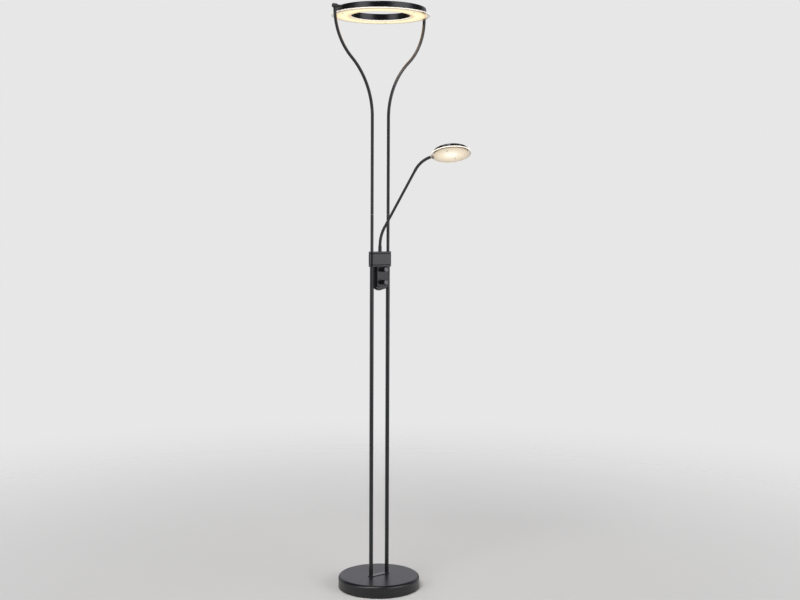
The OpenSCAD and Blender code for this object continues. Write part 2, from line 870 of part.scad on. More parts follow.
floor_pad();
base_plate();
base_weight();
base_cover();
cord_gland();
foot_plate();
rod_studs();
rod_washers();
rod_nuts();
lower_rod_left();
lower_rod_right();
collar_bottom_cap();
collar_body();
collar_top_cap();
collar_screws();
rod_set_screws();
upper_rod_left();
upper_rod_right();
rod_joiners();
fork_arm_left();
fork_arm_right();
fork_knuckles();
fork_caps();
dimmer_back();
dimmer_cover();
dimmer_screws();
dimmer_board();
dial_bodies();
dial_nuts();
upper_dial_shaft();
upper_knob();
lower_dial_shaft();
lower_knob();
pivot_pins();
pivot_washers();
pivot_sleeves();
pivot_nuts();
ring_housing();
ring_board();
ring_diffuser();
ring_screws();
arm_ferrule();
arm_nut();
lower_neck_root();
lower_neck_1();
lower_neck_2();
lower_neck_3();
lower_neck_4();
arm_tube();
upper_neck_1();
upper_neck_2();
upper_neck_3();
upper_neck_4();
upper_neck_5();
head_socket();
head_housing();
head_board();
head_diffuser();
head_screws();
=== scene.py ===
"""Dresses the twin-rod floor lamp: its surfaces, finishes, light and camera. Lengths are metres.

Every new piece is a surface that numpy works out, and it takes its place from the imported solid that
it stands for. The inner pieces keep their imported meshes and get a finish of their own.
"""
import json
import logging
import math
from dataclasses import dataclass, field, replace
from enum import Enum
from typing import Any, Callable, Iterable, Sequence

import bpy
import numpy as np
from mathutils import Matrix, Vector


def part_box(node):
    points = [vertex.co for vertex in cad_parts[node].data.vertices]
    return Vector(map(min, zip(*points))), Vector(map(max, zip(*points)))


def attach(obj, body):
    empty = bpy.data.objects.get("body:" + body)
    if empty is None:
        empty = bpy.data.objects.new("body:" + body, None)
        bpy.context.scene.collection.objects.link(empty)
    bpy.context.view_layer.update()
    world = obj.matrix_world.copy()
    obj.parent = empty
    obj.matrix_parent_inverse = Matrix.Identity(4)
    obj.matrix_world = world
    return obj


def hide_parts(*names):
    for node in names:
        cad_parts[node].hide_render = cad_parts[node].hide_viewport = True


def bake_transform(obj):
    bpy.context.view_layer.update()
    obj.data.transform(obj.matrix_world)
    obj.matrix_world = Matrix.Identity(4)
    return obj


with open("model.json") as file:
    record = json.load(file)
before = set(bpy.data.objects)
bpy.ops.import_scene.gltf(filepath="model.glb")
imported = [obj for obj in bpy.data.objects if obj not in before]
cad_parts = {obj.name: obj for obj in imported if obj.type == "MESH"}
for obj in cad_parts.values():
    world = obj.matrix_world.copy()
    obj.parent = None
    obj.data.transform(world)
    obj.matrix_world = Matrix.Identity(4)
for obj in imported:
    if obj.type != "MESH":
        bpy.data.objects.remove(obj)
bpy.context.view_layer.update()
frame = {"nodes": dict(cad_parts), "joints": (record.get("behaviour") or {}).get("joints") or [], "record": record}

LOG = logging.getLogger("floor_lamp")
Array = np.ndarray
Vec = Sequence[float]
MM = 0.001
PIN_BORE = 3.05 * MM  # Radius of a hole for a pin or a shaft 6 mm thick.
NODES = frame["nodes"]
X, Y, Z = np.eye(3)


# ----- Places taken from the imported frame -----


def low_high(node: str) -> tuple[Array, Array]:
    """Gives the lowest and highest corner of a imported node."""
    low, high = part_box(node)
    return np.array(low), np.array(high)


def middle(node: str) -> Array:
    """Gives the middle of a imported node's box."""
    low, high = low_high(node)
    return (low + high) / 2


def joint_point(name: str) -> Array:
    """Gives the point that a joint turns about."""
    return np.array(next(j["pos_m"] for j in frame["joints"] if j["name"] == name))


def joint_axis(name: str) -> Array:
    """Gives the unit axis that a joint turns about."""
    axis = np.array(next(j["axis"] for j in frame["joints"] if j["name"] == name), float)
    return unit(axis)


def unit(vector: Array) -> Array:
    """Scales a vector to a length of one."""
    return vector / np.linalg.norm(vector)


def turned(vector: Array, axis: Array, degrees: float) -> Array:
    """Turns a vector about a unit axis: v cos + (axis x v) sin + axis (axis . v)(1 - cos)."""
    c, s = math.cos(math.radians(degrees)), math.sin(math.radians(degrees))
    return vector * c + np.cross(axis, vector) * s + axis * (axis @ vector) * (1 - c)


@dataclass(frozen=True)
class Place:
    """Local axes that are turned and moved in the lamp's frame.

    Attributes:
        origin: The point where the local axes start.
        axes: A 3 x 3 array whose columns are the local X, Y and Z.
    """

    origin: Array
    axes: Array

    @classmethod
    def at(cls, x: float = 0.0, y: float = 0.0, z: float = 0.0) -> "Place":
        """Gives upright axes at a point."""
        return cls(np.array([x, y, z]), np.eye(3))

    @classmethod
    def along(cls, origin: Vec, rise: Array, side: Array) -> "Place":
        """Gives axes whose Z is rise and whose X lies as near to side as it can."""
        third = unit(np.asarray(rise, float))
        first = unit(side - third * (side @ third))
        return cls(np.asarray(origin, float), np.stack([first, np.cross(third, first), third], 1))

    def lay(self, points: Array) -> Array:
        """Moves local points into the lamp's frame."""
        return points @ self.axes.T + self.origin

    def undo(self) -> tuple[Vec, Vec]:
        """Gives the move and the turn of a Mapping node that takes the frame back to these axes."""
        back = self.axes.T
        return tuple(-back @ self.origin), tuple(Matrix(back.tolist()).to_euler("XYZ"))


# ----- Surfaces -----


@dataclass(frozen=True)
class Skin:
    """A closed surface as points and faces, before it is a mesh.

    Attributes:
        points: An array of points, one per line.
        faces: Rows of four point numbers. A triangle repeats its last number.
        zones: The number of each face's finish.
    """

    points: Array
    faces: Array
    zones: Array

    @classmethod
    def grid(
        cls, points: Array, loop: bool = False, zone: Callable[[Array], Array] | None = None
    ) -> "Skin":
        """Joins a grid of points whose columns close into a ring.

        Args:
            points: An array of rows x columns x 3.
            loop: Whether the last row joins the first. If not, a fan of faces closes each end.
            zone: Gives each face's finish from the faces' middles; without it all have the first.

        Returns:
            The surface, with its faces turned outwards.
        """
        rows, columns = points.shape[:2]
        number = np.arange(rows * columns).reshape(rows, columns)
        lower = number if loop else number[:-1]
        upper = np.roll(number, -1, axis=0) if loop else number[1:]
        quads = np.stack(
            [lower, np.roll(lower, -1, axis=1), np.roll(upper, -1, axis=1), upper], axis=-1
        ).reshape(-1, 4)
        flat = points.reshape(-1, 3)
        if not loop:
            first, last = number[0], number[-1]
            hubs = np.stack([points[0].mean(axis=0), points[-1].mean(axis=0)])
            flat = np.vstack([flat, hubs])
            start, stop = len(flat) - 2, len(flat) - 1
            low_fan = np.stack([np.roll(first, -1), first, first * 0 + start, first * 0 + start], 1)
            high_fan = np.stack([last, np.roll(last, -1), last * 0 + stop, last * 0 + stop], 1)
            quads = np.vstack([quads, low_fan, high_fan])
        zones = np.zeros(len(quads), np.int32)
        if zone is not None:
            zones = zone(flat[quads].mean(axis=1)).astype(np.int32)
        skin = cls(flat, quads, zones)
        return skin.reversed() if skin.volume() < 0 else skin

    def reversed(self) -> "Skin":
        """Turns every face over."""
        return Skin(self.points, self.faces[:, [1, 0, 3, 2]], self.zones)

    def volume(self) -> float:
        """Adds up the signed volumes between the origin and each face."""
        a, b, c, d = (self.points[self.faces[:, k]] for k in range(4))
        halves = np.cross(a, b) * c + np.cross(a, c) * d
        return float(halves.sum()) / 6

    def laid(self, place: Place) -> "Skin":
        """Moves the surface from local axes into the lamp's frame."""
        return Skin(place.lay(self.points), self.faces, self.zones)

    def __add__(self, other: "Skin") -> "Skin":
        """Puts two surfaces side by side in one.

        Args:
            other: The other surface.

        Returns:
            The two as one surface.
        """
        return Skin(
            np.vstack([self.points, other.points]),
            np.vstack([self.faces, other.faces + len(self.points)]),
            np.concatenate([self.zones, other.zones]),
        )

    def mirrored(self) -> "Skin":
        """Mirrors the surface in X, with its faces still outwards."""
        return Skin(self.points * [-1, 1, 1], self.faces, self.zones).reversed()


def add_object(name: str, data: bpy.types.ID) -> bpy.types.Object:
    """Puts a new object in the scene."""
    made = bpy.data.objects.new(name, data)
    bpy.context.scene.collection.objects.link(made)
    return made


def both_sides(skin: Skin) -> Skin:
    """Joins a surface at +X with its mirror image at -X."""
    return skin + skin.mirrored()


def rounded(corners: Sequence[Vec], closed: bool = False, steps: int = 6) -> Array:
    """Rounds the corners of a line in a plane.

    Each corner of radius r becomes an arc that touches both its sides: the arc's middle lies on
    the bisector, r / sin(half the corner's angle) away from the corner.

    Args:
        corners: The corners as (x, y) for a sharp one or (x, y, r) for a round one.
        closed: Whether the last corner joins the first.
        steps: How many points an arc has, less one.

    Returns:
        The line's points, one per line.
    """
    spots = np.array([c[:2] for c in corners], float)
    radii = [c[2] if len(c) > 2 else 0.0 for c in corners]
    line: list[Array] = []
    count = len(spots)
    for k, (spot, radius) in enumerate(zip(spots, radii)):
        at_end = not closed and k in (0, count - 1)
        if radius <= 0 or at_end:
            line.append(spot[None])
            continue
        back, ahead = unit(spots[k - 1] - spot), unit(spots[(k + 1) % count] - spot)
        angle = math.acos(float(np.clip(back @ ahead, -1, 1)))
        reach = radius / math.tan(angle / 2)
        centre = spot + unit(back + ahead) * radius / math.sin(angle / 2)
        swing = math.pi - angle
        share = np.linspace(0, 1, steps + 1)[:, None]
        start, stop = spot + back * reach - centre, spot + ahead * reach - centre
        arc = (np.sin((1 - share) * swing) * start + np.sin(share * swing) * stop) / math.sin(swing)
        line.append(centre + arc)
    return np.vstack(line)


def revolve(
    profile: Array, turns: int, loop: bool = False, zone: Callable[[Array], Array] | None = None
) -> Skin:
    """Turns a profile about Z: a point (r, z) goes to (r cos a, r sin a, z) at each angle a.

    Args:
        profile: Points of radius and height, one per line.
        turns: The number of steps round.
        loop: Whether the profile's end joins its start. If not, a fan closes each end.
        zone: Gives each face's finish from the faces' middles.

    Returns:
        The surface of revolution.
    """
    angle = np.linspace(0, 2 * math.pi, turns, endpoint=False)
    radius, height = profile[:, :1], profile[:, 1:]
    points = np.stack([radius * np.cos(angle), radius * np.sin(angle), height + 0 * angle], axis=-1)
    return Skin.grid(points, loop, zone)


def lathe(
    corners: Sequence[Vec],
    turns: int,
    steps: int,
    closed: bool = True,
    zone: Callable[[Array], Array] | None = None,
) -> Skin:
    """Turns a profile with rounded corners about Z: a closed one as a ring, an open one capped."""
    return revolve(rounded(corners, closed, steps), turns, closed, zone)


def groove(
    radius: float, start: float, stop: float, deep: float, slope: float, edge: float
) -> list[Vec]:
    """Gives the corners of a groove round a turned piece, from start to stop along its axis.

    Args:
        radius: The piece's radius beside the groove.
        start: Where the groove starts.
        stop: Where it ends.
        deep: How deep it is.
        slope: The length of each of its sloping sides.
        edge: The rounding of its corners.

    Returns:
        The groove's four corners, each with its rounding.
    """
    floor = radius - deep
    return [
        (radius, start, edge),
        (floor, start + slope, edge),
        (floor, stop - slope, edge),
        (radius, stop, edge),
    ]


def rod(radius: float, start: float, stop: float, turns: int = 32) -> Skin:
    """Gives a plain closed cylinder about Z, for cuts and for small plugs."""
    return revolve(np.array([[radius, start], [radius, stop]]), turns)


def rods_at(places: Iterable[float], radius: float, start: float, stop: float) -> list[Skin]:
    """Gives a plain upright cylinder at each of these places along X."""
    return [rod(radius, start, stop).laid(Place.at(x=x)) for x in places]


def tube(
    inner: float, outer: float, start: float, stop: float, turns: int = 48, edge: float = 0.3 * MM
) -> Skin:
    """Gives a closed pipe about Z with slightly rounded edges outside."""
    corners = [(inner, start), (outer, start, edge), (outer, stop, edge), (inner, stop)]
    return lathe(corners, turns, 3)


def sweep(line: Array, tangent: Array, radius: Array, side: Array, turns: int) -> Skin:
    """Carries a circle round a flat loop: point = line + r (side cos a + (tangent x side) sin a).

    Args:
        line: The middle of each row.
        tangent: The unit direction of the line at each row.
        radius: The radius at each row, or at each row and each step round.
        side: A unit vector that is square to the whole line.
        turns: The number of steps round.

    Returns:
        The swept surface, whose last row joins the first.
    """
    angle = np.linspace(0, 2 * math.pi, turns, endpoint=False)
    other = np.cross(tangent, side)
    spoke = side * np.cos(angle)[None, :, None] + other[:, None] * np.sin(angle)[None, :, None]
    reach = np.broadcast_to(radius.reshape(len(line), -1), (len(line), turns))
    return Skin.grid(line[:, None] + spoke * reach[..., None], loop=True)


def there_and_back(values: Array) -> Array:
    """Runs along an array and back again, for the outside and the inside of a pipe."""
    return np.concatenate([values, values[::-1]])


def inset(outline: Array, distance: Array) -> Array:
    """Shrinks a closed outline: each point moves by (n1 + n2) / (1 + n1 . n2) times the distance.

    Args:
        outline: The points, anticlockwise, one per line.
        distance: How far each copy moves inwards.

    Returns:
        One copy of the outline per distance.
    """
    side = np.roll(outline, -1, axis=0) - outline
    side /= np.linalg.norm(side, axis=1, keepdims=True)
    inward = np.stack([-side[:, 1], side[:, 0]], axis=1)
    before = np.roll(inward, 1, axis=0)
    miter = (inward + before) / (1 + np.sum(inward * before, axis=1, keepdims=True))
    return outline[None] + np.asarray(distance).reshape(-1, 1, 1) * miter[None]


def slab(outline: Array, layers: Array) -> Skin:
    """Stacks copies of an outline along Z, each shrunk by its layer's inset.

    Args:
        outline: The outline's points, anticlockwise.
        layers: Rows of inset and height.

    Returns:
        The stacked surface.
    """
    copies = inset(outline, layers[:, 0])
    height = np.broadcast_to(layers[:, 1][:, None, None], copies.shape[:2] + (1,))
    return Skin.grid(np.concatenate([copies, height], axis=2))


def stadium(half: float, width: float, steps: int = 24) -> Array:
    """Gives a bar's outline with round ends: two half circles about x = half and x = -half."""
    angle = np.linspace(-math.pi / 2, math.pi / 2, steps + 1)
    right = np.stack([half + width / 2 * np.cos(angle), width / 2 * np.sin(angle)], axis=1)
    return np.vstack([right, -right])


def edge_layers(low: float, high: float, edge: float) -> Array:
    """Gives the layers of a flat slab whose two rims are rounded by edge."""
    deep = 3 * edge
    corners = [(deep, low), (0, low, edge), (0, high, edge), (deep, high)]
    return rounded(corners, steps=4)


# ----- Shader maths -----


def operator(operation: str, swapped: bool = False) -> Callable[["Wire", "Wire | float"], "Wire"]:
    """Gives an operator of Wire that adds a Math node on self and the other value, in this order.

    Args:
        operation: The node's operation.
        swapped: Whether the other value comes first.

    Returns:
        The method that stands for the operator.
    """

    def method(self: "Wire", other: "Wire | float") -> "Wire":
        """Adds the node."""
        return self.math(operation, *((other, self) if swapped else (self, other)))

    return method


class Wire:
    """One socket of a finish's node tree, with operators that add Math nodes.

    A comparison gives 1 where it holds and 0 elsewhere.
    """

    def __init__(self, shader: "Shader", socket: bpy.types.NodeSocket) -> None:
        """Keeps the socket and the shader that it belongs to."""
        self.shader = shader
        self.socket = socket

    def math(self, operation: str, *values: "Wire | float") -> "Wire":
        """Adds a Math node on these values."""
        return self.shader.add("ShaderNodeMath", {"operation": operation}, dict(enumerate(values)))

    __add__ = __radd__ = operator("ADD")
    __mul__ = __rmul__ = operator("MULTIPLY")
    __sub__ = operator("SUBTRACT")
    __rsub__ = operator("SUBTRACT", swapped=True)
    __truediv__ = operator("DIVIDE")
    __gt__ = operator("GREATER_THAN")
    __lt__ = operator("LESS_THAN")

    def sine(self) -> "Wire":
        """Gives the sine of self in radians."""
        return self.math("SINE", self)

    def root(self) -> "Wire":
        """Gives the square root of self."""
        return self.math("SQRT", self)

    def rise(self, start: float, stop: float) -> "Wire":
        """Gives a soft step from 0 at start to 1 at stop; stop may be the smaller.

        Args:
            start: The value where the step begins.
            stop: The value where it is complete.

        Returns:
            The step.
        """
        low, high = min(start, stop), max(start, stop)
        ends = (0.0, 1.0) if start < stop else (1.0, 0.0)
        limits = {0: self, 1: low, 2: high, 3: ends[0], 4: ends[1]}
        return self.shader.add("ShaderNodeMapRange", {"interpolation_type": "SMOOTHSTEP"}, limits)


class Shader:
    """The node tree of one finish, or of the surroundings, while it is being built."""

    def __init__(self, owner: bpy.types.Material | bpy.types.World) -> None:
        """Empties the owner's node tree.

        Args:
            owner: What the nodes belong to.
        """
        self.owner = owner
        owner.use_nodes = True
        self.tree = owner.node_tree
        self.tree.nodes.clear()

    @classmethod
    def start(cls, name: str) -> "Shader":
        """Starts a new material of that name."""
        return cls(bpy.data.materials.new(name))

    def node(
        self,
        kind: str,
        settings: dict[str, Any] | None = None,
        inputs: dict[Any, Any] | None = None,
    ) -> bpy.types.Node:
        """Adds a node.

        Args:
            kind: The node's type.
            settings: Its own settings; "stops" sets a ramp's places and colours.
            inputs: A value or a Wire for each input socket, by name or number.

        Returns:
            The node.
        """
        node = self.tree.nodes.new(kind)
        for key, value in (settings or {}).items():
            if key == "stops":
                ramp = node.color_ramp.elements
                while len(ramp) < len(value):
                    ramp.new(0.5)
                for element, (position, colour) in zip(ramp, value):
                    element.position = position
                    element.color = (*colour, 1.0)
            else:
                setattr(node, key, value)
        for key, value in (inputs or {}).items():
            socket = node.inputs[key]
            if isinstance(value, Wire):
                self.tree.links.new(value.socket, socket)
            else:
                socket.default_value = (*value, 1.0) if socket.type == "RGBA" else value
        return node

    def add(
        self,
        kind: str,
        settings: dict[str, Any] | None = None,
        inputs: dict[Any, Any] | None = None,
        output: str | int = 0,
    ) -> Wire:
        """Adds a node and gives one of its outputs."""
        return Wire(self, self.node(kind, settings, inputs).outputs[output])

    def spot(self) -> Wire:
        """Gives the Object coordinates."""
        return self.add("ShaderNodeTexCoord", output="Object")

    def local(self, place: Place) -> Wire:
        """Gives the Object coordinates taken back to a place's own axes."""
        move, turn = place.undo()
        back = {"Vector": self.spot(), "Location": move, "Rotation": turn}
        return self.add("ShaderNodeMapping", {}, back)

    def noise(self, at: Wire, scale: float, detail: float = 2.0, rough: float = 0.5) -> Wire:
        """Gives soft noise from 0 to 1 with about that many cells a metre."""
        inputs = {"Vector": at, "Scale": scale, "Detail": detail, "Roughness": rough}
        return self.add("ShaderNodeTexNoise", {}, inputs)

    def cells(self, at: Wire, scale: float) -> Wire:
        """Gives the distance to the nearest of scattered points, in cell widths."""
        return self.add("ShaderNodeTexVoronoi", {}, {"Vector": at, "Scale": scale})

    def vector(self, operation: str, *values: "Wire | Vec", output: str = "Value") -> Wire:
        """Adds a Vector Math node on these values."""
        inputs = dict(enumerate(values))
        return self.add("ShaderNodeVectorMath", {"operation": operation}, inputs, output)

    def from_axis(self, at: Wire) -> Wire:
        """Gives the distance from the local Z axis."""
        return self.vector("LENGTH", self.vector("MULTIPLY", at, (1.0, 1.0, 0.0), output="Vector"))

    def along(self, at: Wire, direction: Array) -> Wire:
        """Gives how far a vector reaches in a direction."""
        return self.vector("DOT_PRODUCT", at, tuple(direction))

    def ramp(self, factor: Wire, stops: Sequence[tuple[float, Vec]]) -> Wire:
        """Gives the colour of a ramp at a factor from 0 to 1."""
        return self.add("ShaderNodeValToRGB", {"stops": stops}, {0: factor})

    def blend(self, factor: Wire | float, first: Wire | Vec, second: Wire | Vec) -> Wire:
        """Mixes two colours."""
        return self.add("ShaderNodeMix", {"data_type": "RGBA"}, {0: factor, 6: first, 7: second}, 2)

    def bump(self, height: Wire, depth: float) -> Wire:
        """Gives normals tilted by a height pattern of that depth."""
        inputs = {"Height": height, "Distance": depth, "Strength": 1.0}
        return self.add("ShaderNodeBump", {}, inputs)

    def close(self, **sockets: Any) -> bpy.types.Material:
        """Ends the tree in a Principled shader.

        Args:
            **sockets: Its inputs, with an underscore for each space in a name.

        Returns:
            The finished material.
        """
        inputs = {key.replace("_", " "): value for key, value in sockets.items()}
        self.end("Material", self.add("ShaderNodeBsdfPrincipled", {}, inputs))
        return self.owner

    def end(self, kind: str, surface: Wire) -> None:
        """Joins a surface to the tree's Material or World output."""
        self.node(f"ShaderNodeOutput{kind}", {}, {"Surface": surface})


# ----- Finishes -----


class Slot(Enum):
    """The material slots of the lamp's record."""

    PAINT = "black_paint"
    PLASTIC = "black_plastic"
    NECK = "neck_steel"
    RUBBER = "rubber_black"
    ZINC = "zinc_steel"
    STEEL = "plain_steel"
    IRON = "raw_iron"
    BOARD = "board_green"
    ACRYLIC = "diffuser_acrylic"


def scaled(colour: Vec, share: float) -> Vec:
    """Makes a colour darker or paler."""
    return tuple(share * c for c in colour)


@dataclass(frozen=True)
class Pattern:
    """A pattern over an opaque finish, from 0 to 1.

    Attributes:
        scale: Its cells a metre.
        detail: The layers of finer noise in it. Without a number it is scattered points.
        rough: How strong the finer layers are.
        edge: The value that cuts it into a hard 0 and 1, if there is one.
    """

    scale: float
    detail: float | None = None
    rough: float = 0.5
    edge: float | None = None

    def over(self, shader: Shader, at: Wire) -> Wire:
        """Adds the pattern to a finish.

        Args:
            shader: The finish's node tree.
            at: The coordinates that the pattern reads.

        Returns:
            The pattern's value.
        """
        if self.detail is None:
            wire = shader.cells(at, self.scale)
        else:
            wire = shader.noise(at, self.scale, self.detail, self.rough)
        return wire if self.edge is None else wire > self.edge


@dataclass(frozen=True)
class Opaque:
    """A finish of paint, metal, rubber or plastic, varied by a few patterns.

    Attributes:
        dark: The colour where the patterns are 0.
        light: The colour where they are 1.
        patterns: The patterns.
        tone: Each pattern's share in the colour.
        haze: How much each adds to the roughness.
        relief: Each one's share in the relief.
        gloss: The least roughness.
        depth: How deep the relief is.
        metal: How metallic the finish is.
        coat: How much clear coat lies over it.
    """

    dark: Vec
    light: Vec
    patterns: tuple[Pattern, ...]
    tone: Vec
    haze: Vec
    relief: Vec
    gloss: float
    depth: float
    metal: float = 0.0
    coat: float = 0.0

    def make(self, name: str) -> bpy.types.Material:
        """Builds the material.

        Args:
            name: The material's name.

        Returns:
            The finished material.
        """
        shader = Shader.start(name)
        at = shader.spot()
        wires = [pattern.over(shader, at) for pattern in self.patterns]

        def mix(shares: Vec) -> Wire:
            """Adds the patterns up by their shares."""
            parts = [w if share == 1 else w * share for w, share in zip(wires, shares) if share]
            return sum(parts[1:], parts[0])

        return shader.close(
            Base_Color=shader.blend(mix(self.tone), self.dark, self.light),
            Metallic=self.metal,
            Roughness=mix(self.haze) + self.gloss,
            Normal=shader.bump(mix(self.relief), self.depth),
            Coat_Weight=self.coat,
        )


# Satin black powder coat: faint clouds, fine orange peel and grit.
POWDER_COAT = Opaque(
    dark=(0.0055, 0.0056, 0.0062),
    light=(0.0090, 0.0090, 0.0098),
    patterns=(Pattern(22.0, 3.0), Pattern(900.0, 1.0), Pattern(3150.0, 0.0)),
    tone=(1, 0, 0),
    haze=(0.06, 0, 0.03),
    relief=(0, 1, 0.35),
    gloss=0.155,
    depth=0.00003,
)

# Black moulded plastic: a faint haze over a fine spark-eroded grain.
MOULDED = Opaque(
    dark=(0.0035, 0.0035, 0.0039),
    light=scaled((0.0035, 0.0035, 0.0039), 1.35),
    patterns=(Pattern(60.0, 2.0), Pattern(1600.0)),
    tone=(1, 0),
    haze=(0.08, 0.05),
    relief=(0, 1),
    gloss=0.22,
    depth=0.00004,
)

# Blackened wire of a flexible neck: matt, and rubbed a little smoother in patches.
WOUND_STEEL = Opaque(
    dark=(0.010, 0.010, 0.011),
    light=scaled((0.010, 0.010, 0.011), 1.5),
    patterns=(Pattern(260.0, 3.0), Pattern(2600.0, 1.0)),
    tone=(1, 0),
    haze=(0.16, 0),
    relief=(0, 1),
    gloss=0.36,
    depth=0.00003,
)

# Bright plated steel: a slight stain and fine turning marks.
PLATED = Opaque(
    dark=scaled((0.52, 0.53, 0.54), 0.72),
    light=(0.52, 0.53, 0.54),
    patterns=(Pattern(90.0, 3.0), Pattern(700.0, 4.0, 0.7)),
    tone=(1, 0),
    haze=(0, 0.22),
    relief=(0, 1),
    gloss=0.19,
    depth=0.00002,
    metal=1.0,
)

# Sand-cast iron under a thin dark primer: grains of sand and patches.
CASTING = Opaque(
    dark=(0.045, 0.044, 0.043),
    light=(0.12, 0.115, 0.11),
    patterns=(Pattern(900.0, 4.0, 0.65), Pattern(35.0, 3.0)),
    tone=(0.6, 0.4),
    haze=(0.2, 0),
    relief=(1, 0.5),
    gloss=0.6,
    depth=0.0003,
    metal=0.35,
)

# Matt black rubber: a dusty bloom over fine pores.
RUBBER = Opaque(
    dark=(0.012, 0.012, 0.012),
    light=(0.032, 0.031, 0.030),
    patterns=(Pattern(70.0, 4.0, 0.6), Pattern(1400.0)),
    tone=(1, 0),
    haze=(0.18, 0),
    relief=(0, 1),
    gloss=0.72,
    depth=0.00008,
)

# Green solder mask: copper runs that show through it as paler bands, and a faint haze.
CIRCUIT_BOARD = Opaque(
    dark=(0.012, 0.085, 0.038),
    light=(0.035, 0.19, 0.075),
    patterns=(Pattern(260.0, edge=0.42), Pattern(400.0, 2.0)),
    tone=(1, 0),
    haze=(0, 0.15),
    relief=(1, 0),
    gloss=0.28,
    depth=0.00004,
    coat=0.4,
)


@dataclass(frozen=True)
class BlackNickel:
    """Satin black nickel with fine rings left by turning.

    Attributes:
        axis: The axes of the turned piece, with Z along its middle.
        tone: The metal's colour.
        gloss: The mean roughness.
        pitch: The distance between two rings.
    """

    axis: Place
    tone: Vec = (0.108, 0.108, 0.114)
    gloss: float = 0.27
    pitch: float = 0.35 * MM

    def make(self, name: str) -> bpy.types.Material:
        """Builds the material.

        Args:
            name: The material's name.

        Returns:
            The finished material.
        """
        shader = Shader.start(name)
        at = shader.local(self.axis)
        rings = (shader.from_axis(at) * (2 * math.pi / self.pitch)).sine() * 0.5 + 0.5
        stain = shader.noise(at, 140.0, detail=3.0)
        return shader.close(
            Base_Color=shader.blend(stain, self.tone, scaled(self.tone, 0.85)),
            Metallic=1.0,
            Roughness=rings * 0.06 + stain * 0.05 + (self.gloss - 0.05),
            Normal=shader.bump(rings, 0.00001),
        )


@dataclass(frozen=True)
class LitOpal:
    """The frosted zone of a lit diffuser, with rows of laser dots round its middle.

    Attributes:
        place: The diffuser's own axes, with Z through its middle.
        inner: Where the zone's glow starts, as a distance from the middle.
        outer: Where it ends.
        stops: The glow's colour from inner to outer.
        pitch: The distance between two rows of dots.
        power: The glow's strength.
    """

    place: Place
    inner: float
    outer: float
    stops: tuple[tuple[float, Vec], ...]
    pitch: float = 2.4 * MM
    power: float = 1.0

    def make(self, name: str) -> bpy.types.Material:
        """Builds the material.

        Args:
            name: The material's name.

        Returns:
            The finished material.
        """
        shader = Shader.start(name)
        at = shader.local(self.place)
        across = shader.from_axis(at)
        share = (across - self.inner) / (self.outer - self.inner)
        rows = (across * (2 * math.pi / self.pitch)).sine() * 0.5 + 0.5
        cloud = shader.noise(at, 45.0, detail=2.0)
        glow = shader.ramp(share, self.stops)
        shade = shader.blend(rows * 0.10 + cloud * 0.10, glow, (0.62, 0.42, 0.18))
        return shader.close(
            Base_Color=shader.blend(rows, (0.26, 0.25, 0.23), (0.32, 0.31, 0.29)),
            Roughness=0.45 + 0.1 * rows,
            Emission_Color=shade,
            Emission_Strength=self.power,
            Normal=shader.bump(rows, 0.00005),
        )


@dataclass(frozen=True)
class ClearAcrylic:
    """The clear flange of a diffuser, which carries amber light near its housing.

    Attributes:
        place: The diffuser's own axes, with Z through its middle.
        bright: The distance from the middle where the amber light is at its best.
        dark: The distance where it has gone.
        tint: The acrylic's colour.
        glow: The colour of the light that it carries.
        power: How strongly it glows.
    """

    place: Place
    bright: float
    dark: float
    tint: Vec = (0.66, 0.65, 0.62)
    glow: Vec = (0.80, 0.47, 0.17)
    power: float = 0.4

    def make(self, name: str) -> bpy.types.Material:
        """Builds the material.

        Args:
            name: The material's name.

        Returns:
            The finished material.
        """
        shader = Shader.start(name)
        at = shader.local(self.place)
        haze = shader.noise(at, 120.0, detail=3.0)
        carried = shader.from_axis(at).rise(self.dark, self.bright)
        return shader.close(
            Base_Color=shader.blend(haze, self.tint, scaled(self.tint, 0.95)),
            Roughness=haze * 0.05 + 0.03,
            IOR=1.49,
            Transmission_Weight=1.0,
            Emission_Color=shader.blend(carried, scaled(self.glow, 0.06), self.glow),
            Emission_Strength=self.power,
        )


@dataclass(frozen=True)
class LitEdge:
    """The polished edge of a lit plate, where the trapped light comes out as a bright line.

    Attributes:
        hot: The colour of its brightest stretches.
        cool: The colour between them.
        power: The strength of the light.
    """

    hot: Vec = (1.0, 0.94, 0.72)
    cool: Vec = (0.95, 0.78, 0.48)
    power: float = 0.6

    def make(self, name: str) -> bpy.types.Material:
        """Builds the material.

        Args:
            name: The material's name.

        Returns:
            The finished material.
        """
        shader = Shader.start(name)
        at = shader.spot()
        flicker = shader.noise(at, 90.0, detail=1.0)
        return shader.close(
            Base_Color=shader.blend(flicker, (0.86, 0.84, 0.78), (0.80, 0.77, 0.70)),
            Roughness=flicker * 0.1 + 0.15,
            Emission_Color=shader.blend(flicker, self.hot, self.cool),
            Emission_Strength=self.power,
        )


# ----- Making pieces -----


@dataclass(frozen=True)
class Piece:
    """What a new piece is.

    Attributes:
        name: The piece's name.
        node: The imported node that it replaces, if there is one.
        body: The body that it rides on.
        slot: The record's slot that it takes its finish from.
        finishes: The materials of its zones; the slot's own finish if there are none.
        crease: The angle in degrees from which an edge stays sharp.
    """

    name: str
    node: str
    body: str = "stand"
    slot: Slot = Slot.PAINT
    finishes: tuple[bpy.types.Material, ...] = ()
    crease: float = 32.0


